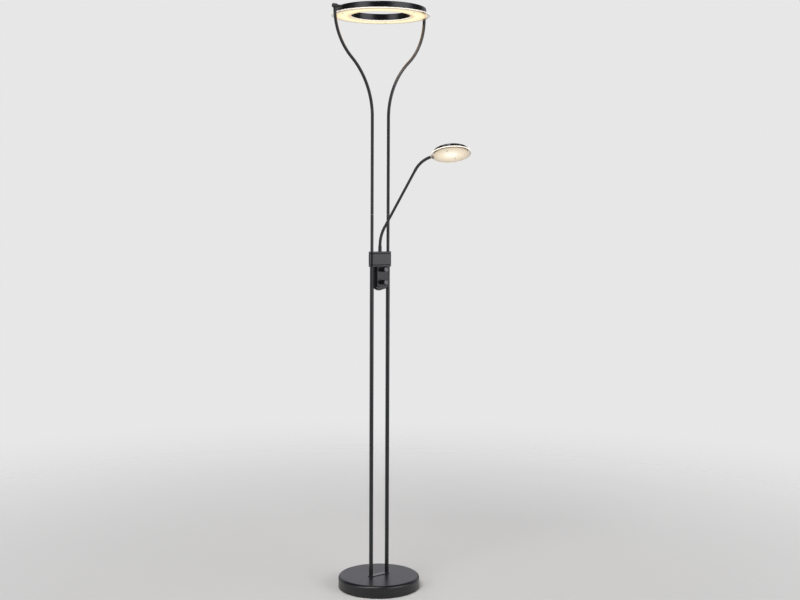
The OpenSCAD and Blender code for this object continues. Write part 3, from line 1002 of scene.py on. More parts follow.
@dataclass
class Bench:
    """Makes the lamp's pieces and keeps one material for each slot.

    Attributes:
        stock: The material of each slot.
        made: The names of the pieces made so far.
    """

    stock: dict[Slot, bpy.types.Material] = field(default_factory=dict)
    made: list[str] = field(default_factory=list)

    def lay_in(self) -> None:
        """Makes the material of every slot that has a plain finish."""
        zinc = (0.60, 0.61, 0.60)
        finishes = {
            Slot.PAINT: POWDER_COAT,
            Slot.PLASTIC: MOULDED,
            Slot.NECK: WOUND_STEEL,
            Slot.RUBBER: RUBBER,
            Slot.ZINC: replace(PLATED, dark=scaled(zinc, 0.72), light=zinc, gloss=0.25),
            Slot.STEEL: PLATED,
            Slot.IRON: CASTING,
            Slot.BOARD: CIRCUIT_BOARD,
            Slot.ACRYLIC: ClearAcrylic(Place.at(), 0.0, 0.01),
        }
        for slot, finish in finishes.items():
            self.stock[slot] = finish.make(slot.value)

    def mesh(self, name: str, skin: Skin) -> bpy.types.Object:
        """Puts a surface into a new mesh object.

        Args:
            name: The object's name.
            skin: The surface.

        Returns:
            The new object.
        """
        mesh = bpy.data.meshes.new(name)
        corners = [tuple(f[:3]) if f[2] == f[3] else tuple(f) for f in skin.faces.tolist()]
        mesh.from_pydata(skin.points.tolist(), [], corners)
        mesh.polygons.foreach_set("material_index", skin.zones)
        return add_object(name, mesh)

    def carve(self, target: bpy.types.Object, tool: Skin, operation: str) -> None:
        """Cuts a surface out of a piece, or adds it, and keeps the result as the piece's mesh.

        Args:
            target: The piece.
            tool: The closed surface.
            operation: DIFFERENCE to cut it out or UNION to add it.
        """
        cutter = self.mesh(target.name + "_tool", tool)
        for material in target.data.materials:
            cutter.data.materials.append(material)
        step = target.modifiers.new("carve", "BOOLEAN")
        step.operation = operation
        step.solver = "EXACT"
        step.object = cutter
        whole = target.evaluated_get(bpy.context.evaluated_depsgraph_get())
        carved = bpy.data.meshes.new_from_object(whole)
        target.modifiers.clear()
        old = target.data
        target.data = carved
        bpy.data.meshes.remove(old)
        shape = cutter.data
        bpy.data.objects.remove(cutter)
        bpy.data.meshes.remove(shape)

    def make(
        self, piece: Piece, skin: Skin, adds: Iterable[Skin] = (), cuts: Iterable[Skin] = ()
    ) -> None:
        """Makes a piece and hangs it on its body.

        Args:
            piece: What the piece is.
            skin: Its surface.
            adds: Closed surfaces that are joined to it.
            cuts: Closed surfaces that are cut from it.
        """
        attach(self.finish(piece, skin, adds, cuts), piece.body)

    def finish(
        self, piece: Piece, skin: Skin, adds: Iterable[Skin] = (), cuts: Iterable[Skin] = ()
    ) -> bpy.types.Object:
        """Makes a piece, dresses it and smooths it, without hanging it on a body.

        Args:
            piece: What the piece is.
            skin: Its surface.
            adds: Closed surfaces that are joined to it.
            cuts: Closed surfaces that are cut from it.

        Returns:
            The finished object.
        """
        made = self.mesh(piece.name, skin)
        for material in piece.finishes or (self.stock[piece.slot],):
            made.data.materials.append(material)
        for tool in adds:
            self.carve(made, tool, "UNION")
        for tool in cuts:
            self.carve(made, tool, "DIFFERENCE")
        made.data.name = piece.name
        made.data.shade_smooth()
        made.data.set_sharp_from_angle(angle=math.radians(piece.crease))
        even = made.modifiers.new("even_shading", "WEIGHTED_NORMAL")
        even.keep_sharp = True
        if piece.node:
            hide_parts(piece.node)
        self.made.append(piece.name)
        LOG.info("%s on %s: %d faces", piece.name, piece.body, len(made.data.polygons))
        return made

    def dress_nodes(self) -> None:
        """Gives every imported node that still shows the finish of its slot."""
        slots = {s["node"]: s["material_slot"] for s in frame["record"]["subparts"]}
        for name, node in NODES.items():
            if node.hide_render:
                continue
            material = self.stock[Slot(slots[name])]
            for holder in node.material_slots:
                holder.material = material
            LOG.info("%s keeps its solid, in %s", name, material.name)


# ----- Stand -----


@dataclass
class Base:
    """The round foot: pressed cover, plate under the rods and the cord's grommet.

    Attributes:
        sheet: Thickness of the pressed sheet.
        shoulder: Rounding of the cover's top edge.
        stud_hole: Radius of the cover's holes for the rods' studs.
        plate_hole: Radius of the plate's holes for the studs.
        gland_hole: Radius of the cover's hole for the grommet.
        gloss: The least roughness of the cover's coat, which is duller than the rest.
    """

    sheet: float = 1.6 * MM
    shoulder: float = 8.5 * MM
    stud_hole: float = 4.3 * MM
    plate_hole: float = 4.2 * MM
    gland_hole: float = 5 * MM
    gloss: float = 0.285

    def build(self, bench: Bench) -> None:
        """Makes the foot's visible pieces.

        Args:
            bench: Where the pieces are made.
        """
        self.cover(bench)
        self.foot_plate(bench)
        self.grommet(bench)

    def cover(self, bench: Bench) -> None:
        """Turns the cover's closed profile, down the outside and back up inside.

        Args:
            bench: Where the pieces are made.
        """
        low, high = low_high("base_cover")
        radius, bottom, top = high[0], low[2], high[2]
        inside = radius - self.sheet
        hub = 0.4 * MM
        corners = [
            (hub, top),
            (radius, top, self.shoulder),
            (radius, bottom, 0.5 * MM),
            (inside, bottom, 0.3 * MM),
            (inside, top - self.sheet, self.shoulder - self.sheet),
            (hub, top - self.sheet),
        ]
        gland = Place.along(middle("cord_gland"), Y, X)
        tunnel = rod(self.gland_hole, -12 * MM, 12 * MM).laid(gland)
        rods = [middle(node)[0] for node in ("lower_rod_left", "lower_rod_right")]
        studs = rods_at(rods, self.stud_hole, top - 6 * MM, top + 6 * MM)
        coat = replace(POWDER_COAT, gloss=self.gloss).make("base_coat")
        bench.make(
            Piece("base_cover_shell", "base_cover", finishes=(coat,)),
            lathe(corners, 192, 10, closed=False),
            cuts=[*studs, tunnel],
        )

    def foot_plate(self, bench: Bench) -> None:
        """Stacks the plate with round ends under the two rods.

        Args:
            bench: Where the pieces are made.
        """
        low, high = low_high("foot_plate")
        width = high[1] - low[1]
        half = high[0] - width / 2
        holes = rods_at((-half, half), self.plate_hole, low[2] - MM, high[2] + MM)
        bench.make(
            Piece("foot_plate_bar", "foot_plate"),
            slab(stadium(half, width), edge_layers(low[2], high[2], 0.4 * MM)),
            cuts=holes,
        )

    def grommet(self, bench: Bench) -> None:
        """Turns the grommet about the cord's way in, with a groove for the cover's edge.

        Args:
            bench: Where the pieces are made.
        """
        low, high = low_high("cord_gland")
        bore, lip, waist = 3.2 * MM, (high[0] - low[0]) / 2, 4.9 * MM
        length = high[1] - low[1]
        corners = [
            (bore, 0),
            (lip, 0, 0.5 * MM),
            (lip, 2 * MM, 0.3 * MM),
            (waist, 2 * MM),
            (waist, length - 1.2 * MM),
            (lip, length - 1.2 * MM, 0.2 * MM),
            (lip, length, 0.6 * MM),
            (bore, length, 0.5 * MM),
        ]
        centre = (low + high) / 2
        place = Place.along((centre[0], low[1], centre[2]), Y, X)
        bench.make(
            Piece("cord_grommet", "cord_gland", slot=Slot.RUBBER),
            lathe(corners, 48, 4).laid(place),
        )


@dataclass
class Fork:
    """The rods and the S-shaped arms that carry the ring light.

    Attributes:
        bend_start: Height where an arm leaves the vertical.
        bend_radius: Radius of the lower, outward bend.
        bend_angle: Lean of the arm at the middle of its curve, in degrees.
        knuckle_width: Length of a pivot housing along X.
        lower_wall: Wall of the thick rods.
        wall: Wall of the thin rods and of the arms.
        neck_end: How far below the pivot the neck of its housing ends.
        spigot_depth: How deep a pivot housing's stub sits in its arm.
        spigot_gap: Gap between the stub and the arm's wall.
    """

    bend_start: float = 1470 * MM
    bend_radius: float = 235 * MM
    bend_angle: float = 48.0
    knuckle_width: float = 12 * MM
    lower_wall: float = 1.3 * MM
    wall: float = 1 * MM
    neck_end: float = 3.6 * MM
    spigot_depth: float = 5.9 * MM
    spigot_gap: float = 0.3 * MM

    def build(self, bench: Bench) -> None:
        """Makes the rods, the arms and their tips.

        Args:
            bench: Where the pieces are made.
        """
        self.rods(bench)
        self.arms(bench)
        self.knuckles(bench)
        self.caps(bench)

    def rods(self, bench: Bench) -> None:
        """Turns the four straight tubes.

        Args:
            bench: Where the pieces are made.
        """
        for kind, wall in (("lower_rod", self.lower_wall), ("upper_rod", self.wall)):
            for side in ("left", "right"):
                node = f"{kind}_{side}"
                low, high = low_high(node)
                outer = (high[0] - low[0]) / 2
                skin = tube(outer - wall, outer, low[2], high[2], 64, 0.25 * MM)
                bench.make(Piece(f"{node}_tube", node), skin.laid(Place.at(x=middle(node)[0])))

    def arms(self, bench: Bench) -> None:
        """Carries a circle along a straight stretch and two arcs that meet at the steepest lean.

        Args:
            bench: Where the pieces are made.
        """
        low, high = low_high("fork_arm_right")
        rod_low, rod_high = low_high("upper_rod_right")
        outer = (rod_high[0] - rod_low[0]) / 2
        start_x = middle("upper_rod_right")[0]
        reach = low_high("fork_knuckles")[1][0] - self.knuckle_width / 2
        lean = math.radians(self.bend_angle)
        upper_radius = (reach - start_x) / (1 - math.cos(lean)) - self.bend_radius
        first = np.linspace(0, lean, 28)
        second = np.linspace(lean, 0, 28)[1:]
        bends = (
            (start_x, self.bend_start, self.bend_radius, first),
            (reach, high[2], -upper_radius, second),
        )
        arcs = [
            np.stack([x + r * (1 - np.cos(turn)), 0 * turn, z + r * np.sin(turn)], axis=1)
            for x, z, r, turn in bends
        ]
        stem = [[start_x, 0, low[2]], [start_x, 0, self.bend_start - 20 * MM]]
        line = np.concatenate([stem, *arcs])
        tilt = np.concatenate([[0, 0], first, second])
        tangent = np.stack([np.sin(tilt), 0 * tilt, np.cos(tilt)], axis=1)
        radius = np.full(len(line), outer)
        radii = np.concatenate([radius, radius - self.wall])
        skin = sweep(there_and_back(line), there_and_back(tangent), radii, Y, 48)
        for node, shape in (("fork_arm_right", skin), ("fork_arm_left", skin.mirrored())):
            bench.make(Piece(f"{node}_tube", node), shape)

    def knuckles(self, bench: Bench) -> None:
        """Turns each pivot housing about the pin's axis and sets it on a short neck.

        Args:
            bench: Where the pieces are made.
        """
        high = low_high("fork_knuckles")[1]
        pin = joint_point("ring_tilt")
        reach = high[0] - self.knuckle_width / 2
        barrel = high[2] - pin[2]
        half = self.knuckle_width / 2
        corners = [
            (PIN_BORE, -half),
            (barrel, -half, 0.8 * MM),
            (barrel, half, 0.8 * MM),
            (PIN_BORE, half),
        ]
        hub = lathe(corners, 64, 5).laid(Place.along((reach, 0, pin[2]), X, Z))
        arm_high = low_high("fork_arm_right")[1]
        arm_top, arm_radius = arm_high[2], middle("fork_arm_right")[1] + arm_high[1]
        neck = rod(arm_radius, arm_top + 0.1 * MM, pin[2] - self.neck_end, 48)
        stub = arm_radius - self.wall - self.spigot_gap
        spigot = rod(stub, arm_top - self.spigot_depth, arm_top + 0.6 * MM)
        place = Place.at(x=reach)
        bench.make(
            Piece("fork_knuckle_pair", "fork_knuckles"),
            both_sides(hub),
            adds=[both_sides(neck.laid(place)), both_sides(spigot.laid(place))],
        )

    def caps(self, bench: Bench) -> None:
        """Turns the domed end pieces: height = sqrt(R^2 - r^2) - drop, with a thin straight rim.

        Args:
            bench: Where the pieces are made.
        """
        low, high = low_high("fork_caps")
        pin = joint_point("ring_tilt")
        rim, ball, drop = (high[2] - low[2]) / 2, 8.1 * MM, 4.3 * MM
        tall = ball - drop
        radius = np.linspace(rim - 0.12 * MM, 0.3 * MM, 16)
        dome = np.stack([radius, np.sqrt(ball**2 - radius**2) - drop], axis=1)
        profile = np.vstack([[[0.3 * MM, 0]], [[rim, 0]], [[rim, 0.6 * MM]], dome])
        place = Place.along((high[0] - tall, 0, pin[2]), X, Z)
        bench.make(
            Piece("fork_cap_pair", "fork_caps"),
            both_sides(revolve(profile, 48).laid(place)),
        )


@dataclass
class Collar:
    """The three slabs that clamp the lower rods, the upper rods and the arm together.

    Attributes:
        edge: Rounding of the collar's two outer rims.
        chamfer: Chamfer of each rim that meets another slab, which draws the two seams.
        screw_head: Radius of a clamp screw's head.
        pocket: Radius of the pocket that holds a screw's head.
        pocket_depth: Depth of that pocket.
        wire_hole: Radius of the hole for the wires from below.
        stem_hole: Radius of the hole for the arm's stem.
        gap: Half length and width of the space inside the middle slab.
    """

    edge: float = 1.0 * MM
    chamfer: float = 1.2 * MM
    screw_head: float = 2.75 * MM
    pocket: float = 2.9 * MM
    pocket_depth: float = 2.4 * MM
    wire_hole: float = 4 * MM
    stem_hole: float = 4.05 * MM
    gap: Vec = (9 * MM, 14 * MM)

    def build(self, bench: Bench) -> None:
        """Makes the three slabs and cuts their bores.

        Args:
            bench: Where the pieces are made.
        """
        for node in ("collar_bottom_cap", "collar_body", "collar_top_cap"):
            self.slice(bench, node)

    def slice(self, bench: Bench, node: str) -> None:
        """Stacks one slab and bores it for the rods, the arm's stem and the clamp screws.

        Args:
            bench: Where the pieces are made.
            node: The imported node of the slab.
        """
        low, high = low_high(node)
        width = high[1] - low[1]
        half = high[0] - width / 2
        kind = "lower_rod_right" if node == "collar_bottom_cap" else "upper_rod_right"
        rod_low, rod_high = low_high(kind)
        rod_x = middle(kind)[0]
        bore = (rod_high[0] - rod_low[0]) / 2 + 0.05 * MM
        start, stop = low[2] - MM, high[2] + MM
        bores = [rod(bore, start, stop, 48).laid(Place.at(x=s * rod_x)) for s in (-1, 1)]
        if node == "collar_bottom_cap":
            screw_x = low_high("collar_screws")[1][0] - self.screw_head
            bores += rods_at((-screw_x, screw_x), self.pocket, start, low[2] + self.pocket_depth)
            bores.append(rod(self.wire_hole, start, stop))
        if node == "collar_body":
            bores.append(slab(stadium(*self.gap), np.array([[0, start], [0, stop]])))
        if node == "collar_top_cap":
            bores.append(rod(self.stem_hole, start, stop))
        bench.make(
            Piece(f"{node}_slab", node),
            slab(stadium(half, width, 32), self.layers(node, low[2], high[2])),
            cuts=bores,
        )

    def layers(self, node: str, low: float, high: float) -> Array:
        """Gives a slab's layers: chamfers where it meets another slab, rounded rims elsewhere.

        Args:
            node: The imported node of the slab.
            low: The height of its underside.
            high: The height of its top.

        Returns:
            Rows of inset and height.
        """
        cut, deep = self.chamfer, 3 * self.edge
        foot = [(cut, low), (0, low + cut)]
        crown = [(0, high - cut), (cut, high)]
        if node == "collar_bottom_cap":
            foot = [(0, low, self.edge)]
        if node == "collar_top_cap":
            crown = [(0, high, self.edge)]
        return rounded([(deep, low), *foot, *crown, (deep, high)], steps=4)


# Axes for an outline in X and height that is stacked towards the front.
TO_FRONT = Place(np.zeros(3), np.stack([X, Z, -Y], axis=1))


@dataclass
class Dimmer:
    """The dimmer box under the collar, with its two knobs.

    Attributes:
        foot_radius: Radius of the arc that ends the box below.
        wall: Thickness of the cover.
        shaft_hole: Radius of the cover's holes for the dimmers' shafts.
        plate: Thickness of the back plate and its flange.
        flange: Half the flange's length.
        knob_hollow: Radius of the hollow behind a knob.
        hollow_depth: Depth of that hollow.
        knob_skin: Thickness of a knob's front over its shaft.
        pointer: Where a knob's notch stands at rest, in degrees.
    """

    foot_radius: float = 31 * MM
    wall: float = 1.6 * MM
    shaft_hole: float = 3.65 * MM
    plate: float = 2 * MM
    flange: float = 18 * MM
    knob_hollow: float = 6 * MM
    hollow_depth: float = 4.6 * MM
    knob_skin: float = 1.4 * MM
    pointer: float = -140.0

    def build(self, bench: Bench) -> None:
        """Makes the cover, the back plate and the knobs.

        Args:
            bench: Where the pieces are made.
        """
        self.cover(bench)
        self.back(bench)
        for name in ("upper", "lower"):
            self.knob(bench, name)

    def outline(self, node: str) -> Array:
        """Gives the box's outline: straight sides and top, and an arc of the foot's radius below.

        The outline's first axis is X and its second is height. A wider plate has a wider arc.

        Args:
            node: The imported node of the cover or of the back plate.

        Returns:
            The outline's points, anticlockwise.
        """
        low, high = low_high(node)
        half = (high[0] - low[0]) / 2
        radius = self.foot_radius + half - low_high("dimmer_cover")[1][0]
        centre = low[2] + radius
        swing = math.asin(half / radius)
        angle = np.linspace(-swing, swing, 33)
        foot = np.stack([radius * np.sin(angle), centre - radius * np.cos(angle)], axis=1)
        top = low_high("dimmer_cover")[1][2]
        return np.vstack([foot, [[half, top], [-half, top]]])

    def cover(self, bench: Bench) -> None:
        """Stacks the hollow cover: its front inside, its rim and its front outside.

        Args:
            bench: Where the pieces are made.
        """
        low, high = low_high("dimmer_cover")
        front, rim, wall = -low[1], -high[1], self.wall
        layers = rounded(
            [
                (4 * wall, front - wall),
                (wall, front - wall, 0.8 * MM),
                (wall, rim, 0.2 * MM),
                (0, rim, 0.3 * MM),
                (0, front, 1.1 * MM),
                (4 * wall, front),
            ],
            steps=5,
        )
        hole = rod(self.shaft_hole, front - 4 * MM, front + 4 * MM)
        holes = [
            hole.laid(Place.along((0, 0, middle(node)[2]), -Y, X))
            for node in ("upper_knob", "lower_knob")
        ]
        bench.make(
            Piece("dimmer_cover_shell", "dimmer_cover", slot=Slot.PLASTIC),
            slab(self.outline("dimmer_cover"), layers).laid(TO_FRONT),
            cuts=holes,
        )

    def back(self, bench: Bench) -> None:
        """Stacks the back plate and adds the flange that hangs it from the collar.

        Args:
            bench: Where the pieces are made.
        """
        low, high = low_high("dimmer_back")
        layers = edge_layers(-high[1], -high[1] + self.plate, 0.5 * MM)
        flange_outline = rounded(
            [
                (-self.flange, low[1], MM),
                (self.flange, low[1], MM),
                (self.flange, high[1] - 0.2 * MM),
                (-self.flange, high[1] - 0.2 * MM),
            ],
            closed=True,
        )
        flange = slab(flange_outline, edge_layers(high[2] - self.plate, high[2], 0.3 * MM))
        bench.make(
            Piece("dimmer_back_plate", "dimmer_back", slot=Slot.PLASTIC),
            slab(self.outline("dimmer_back"), layers).laid(TO_FRONT),
            adds=[flange],
        )

    def knob(self, bench: Bench, name: str) -> None:
        """Turns a knob about its shaft: hollow behind, a fine ring near its foot, a dished face.

        A notch in the face's edge points at the setting.

        Args:
            bench: Where the pieces are made.
            name: Which knob it is, upper or lower.
        """
        node = f"{name}_knob"
        low, high = low_high(node)
        radius, length = (high[0] - low[0]) / 2, high[1] - low[1]
        corners = [
            (0.3 * MM, length - self.knob_skin),
            (PIN_BORE, length - self.knob_skin),
            (PIN_BORE, self.hollow_depth),
            (self.knob_hollow, self.hollow_depth),
            (self.knob_hollow, 0),
            (radius, 0, 0.4 * MM),
            *groove(radius, 1.6 * MM, 2.4 * MM, 0.3 * MM, 0.2 * MM, 0.1 * MM),
            (radius, length, 0.9 * MM),
            (radius - 1.8 * MM, length, 0.8 * MM),
            (radius - 2.6 * MM, length - 0.35 * MM, 0.8 * MM),
            (0.3 * MM, length - 0.35 * MM),
        ]
        place = Place.along((0, high[1], middle(node)[2]), -Y, X)
        half = 0.4 * MM
        notch = slab(
            np.array([[-half, 0], [half, 0], [half, 4 * MM], [-half, 4 * MM]]),
            np.array([[0, length - 0.8 * MM], [0, length + MM]]),
        )
        side, ahead = (turned(axis, Z, self.pointer) for axis in (X, Y))
        spun = Place(ahead * (radius - 3.2 * MM), np.stack([side, ahead, Z], axis=1))

        def zone(middles: Array) -> Array:
            """Gives 1 on the turned face and 0 on the rest."""
            return np.where(middles[:, 2] > length - 0.6 * MM, 1, 0)

        zones = (bench.stock[Slot.PLASTIC], BlackNickel(place).make(f"{node}_face"))
        bench.make(
            Piece(f"{node}_cap", node, f"{name}_dial", Slot.PLASTIC, finishes=zones),
            lathe(corners, 72, 5, closed=False, zone=zone).laid(place),
            cuts=[notch.laid(spun).laid(place)],
        )


# ----- Lights of the lamp -----


def pan_head(radius: float, tall: float, shank: float, depth: float) -> Skin:
    """Gives a cross-recess screw with its head's underside at height 0 and its shank below.

    The head is a dome, height = tall (1 - 0.35 (r / radius)^4), less a cross: where either axis is
    nearer than the blade's half width, it goes down by up to 0.6 of the head, softly at its edges.

    Args:
        radius: The head's radius.
        tall: The head's height.
        shank: The shank's radius.
        depth: The shank's length.

    Returns:
        The closed screw.
    """
    angle = np.linspace(0, 2 * math.pi, 48, endpoint=False)
    share = np.linspace(1.0, 0.04, 22)[:, None]
    x, y = share * radius * np.cos(angle), share * radius * np.sin(angle)
    near = np.minimum(np.abs(x), np.abs(y))
    blade = np.clip((0.2 * radius - near) / (0.1 * radius), 0, 1)
    inside = np.clip((0.68 - share) / 0.12, 0, 1)
    cut = (blade**2 * (3 - 2 * blade)) * inside
    z = tall * (1 - 0.35 * share**4) - 0.6 * tall * cut
    top = np.stack([x, y, z], axis=-1)
    ring = np.stack([np.cos(angle), np.sin(angle), 0 * angle], axis=-1)
    lower = [ring * shank - depth * Z, ring * shank, ring * radius, ring * radius + 0.5 * tall * Z]
    return Skin.grid(np.concatenate([np.stack(lower), top]))


def screw_set(spots: Iterable[Vec], radius: float, tall: float, shank: float, depth: float) -> Skin:
    """Sets a screw at each spot, with its head down and the sizes that pan_head takes."""
    screw = pan_head(radius, tall, shank, depth)
    first, *rest = (screw.laid(Place.along(spot, -Z, X)) for spot in spots)
    return sum(rest, first)


@dataclass
class RingLight:
    """The tilting ring: a channel-shaped housing and a lit plate under it.

    Attributes:
        wall: Sheet thickness of the housing.
        roll: Rounding of the housing's outer top edge.
        screw_inset: Distance of the screws from the housing's outer wall.
        screw_turn: Turn of the first screw about the middle, in degrees.
        screws: The number of screws.
        lip: Width of the clear rim round the plate's hole.
        hole: Radius of the plate's hole.
        watts: The power of the light that the plate throws.
    """

    wall: float = 1.6 * MM
    roll: float = 3 * MM
    screw_inset: float = 14 * MM
    screw_turn: float = 46.3
    screws: int = 3
    lip: float = 3.5 * MM
    hole: float = 91.5 * MM
    watts: float = 0.45

    def build(self, bench: Bench) -> None:
        """Makes the housing, the plate, the sleeves and the screws.

        Args:
            bench: Where the pieces are made.
        """
        self.housing(bench)
        self.plate(bench)
        self.sleeves(bench)
        self.fixings(bench)

    def housing(self, bench: Bench) -> None:
        """Turns the channel's closed profile and bores it for the two pins.

        Args:
            bench: Where the pieces are made.
        """
        low, high = low_high("ring_housing")
        outer, bottom, top = high[0], low[2], high[2]
        inner = self.hole + self.lip
        wall = self.wall
        corners = [
            (outer, bottom, 0.4 * MM),
            (outer, top, self.roll),
            (inner, top, 1.2 * MM),
            (inner, bottom, 0.4 * MM),
            (inner + wall, bottom, 0.3 * MM),
            (inner + wall, top - wall, 0.5 * MM),
            (outer - wall, top - wall, self.roll - wall),
            (outer - wall, bottom, 0.3 * MM),
        ]
        pin = joint_point("ring_tilt")
        across = Place.along((0, 0, pin[2]), X, Z)
        bores = both_sides(rod(PIN_BORE, outer - 6 * MM, outer + 6 * MM).laid(across))
        bench.make(
            Piece("ring_housing_channel", "ring_housing", "ring_head"),
            lathe(corners, 240, 8),
            cuts=[bores],
        )

    def plate(self, bench: Bench) -> None:
        """Turns the lit plate: its frosted zone, clear rims and edges are zones of one surface.

        Args:
            bench: Where the pieces are made.
        """
        low, high = low_high("ring_diffuser")
        outer = high[0]
        frost_in = self.hole + self.lip
        frost_out = low_high("ring_housing")[1][0]
        edge = 0.5 * MM
        corners = [
            (self.hole, low[2], edge),
            (frost_in, low[2]),
            (frost_out, low[2]),
            (outer, low[2], edge),
            (outer, high[2], edge),
            (frost_out, high[2]),
            (frost_in, high[2]),
            (self.hole, high[2], edge),
        ]

        def zone(middles: Array) -> Array:
            """Gives 0 on the frosted zone, 1 on the clear rims and 2 on the edges."""
            radius = np.hypot(middles[:, 0], middles[:, 1])
            rims = np.where((radius > outer - edge) | (radius < self.hole + edge), 2, 1)
            return np.where((radius > frost_in) & (radius < frost_out), 0, rims)

        stops = (
            (0.0, (0.42, 0.26, 0.08)),
            (0.07, (0.72, 0.57, 0.26)),
            (0.30, (0.86, 0.83, 0.50)),
            (0.75, (0.84, 0.78, 0.44)),
            (0.94, (0.72, 0.57, 0.26)),
            (1.0, (0.42, 0.26, 0.08)),
        )
        opal = LitOpal(Place.at(), frost_in, frost_out, stops).make("lit_ring_opal")
        clear = ClearAcrylic(Place.at(), frost_out, frost_out + 5 * MM).make("lit_ring_clear")
        Glow("ring_glow", "ring_head", frost_out, self.watts).hang(Place.at(z=low[2] - MM))
        zones = (opal, clear, LitEdge(power=0.4).make("lit_ring_edge"))
        bench.make(
            Piece(
                "ring_diffuser_plate", "ring_diffuser", "ring_head", Slot.ACRYLIC, finishes=zones
            ),
            lathe(corners, 240, 4, zone=zone),
        )

    def sleeves(self, bench: Bench) -> None:
        """Turns the two spacers between the housing and the fork.

        Args:
            bench: Where the pieces are made.
        """
        low, high = low_high("pivot_sleeves")
        housing = low_high("ring_housing")[1][0]
        pin = joint_point("ring_tilt")
        radius = (high[2] - low[2]) / 2
        start, stop = housing + 0.2 * MM, high[0]
        across = Place.along((0, 0, pin[2]), X, Z)
        corners = [
            (PIN_BORE, start),
            (radius, start, 0.3 * MM),
            *groove(radius, stop - 3 * MM, stop - 1.5 * MM, 0.5 * MM, 0.5 * MM, 0.3 * MM),
            (radius, stop, 0.4 * MM),
            (PIN_BORE, stop),
        ]
        bench.make(
            Piece("pivot_sleeve_pair", "pivot_sleeves", "ring_head"),
            both_sides(lathe(corners, 48, 3).laid(across)),
        )

    def fixings(self, bench: Bench) -> None:
        """Sets the screws that hold the plate, evenly round the ring.

        Args:
            bench: Where the pieces are made.
        """
        low = low_high("ring_screws")[0]
        plate_low = low_high("ring_diffuser")[0][2]
        radius = low_high("ring_housing")[1][0] - self.screw_inset
        turns = [math.radians(self.screw_turn + 360 / self.screws * k) for k in range(self.screws)]
        spots = [(radius * math.cos(turn), radius * math.sin(turn), plate_low) for turn in turns]
        skin = screw_set(spots, 2.5 * MM, plate_low - low[2], shank=1.5 * MM, depth=14 * MM)
        bench.make(Piece("ring_screw_set", "ring_screws", "ring_head", Slot.STEEL), skin)


@dataclass(frozen=True)
class Glow:
    """The light that a lit plate throws: a soft disc just under it that the camera doesn't see.

    Attributes:
        name: Its name.
        body: The body that it rides on.
        radius: The disc's radius.
        watts: Its power.
        colour: The colour of its light.
    """

    name: str
    body: str
    radius: float
    watts: float
    colour: Vec = (1.0, 0.55, 0.20)

    def hang(self, place: Place) -> None:
        """Makes the lamp at a place, shining down the place's Z.

        Args:
            place: The lamp's own axes.
        """
        data = bpy.data.lights.new(self.name, "AREA")
        data.shape = "DISK"
        data.size = 2 * self.radius
        data.energy = self.watts
        data.color = self.colour
        made = add_object(self.name, data)
        look(made, place.origin, -place.axes[:, 2], place.axes[:, 0])
        made.visible_camera = False
        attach(made, self.body)


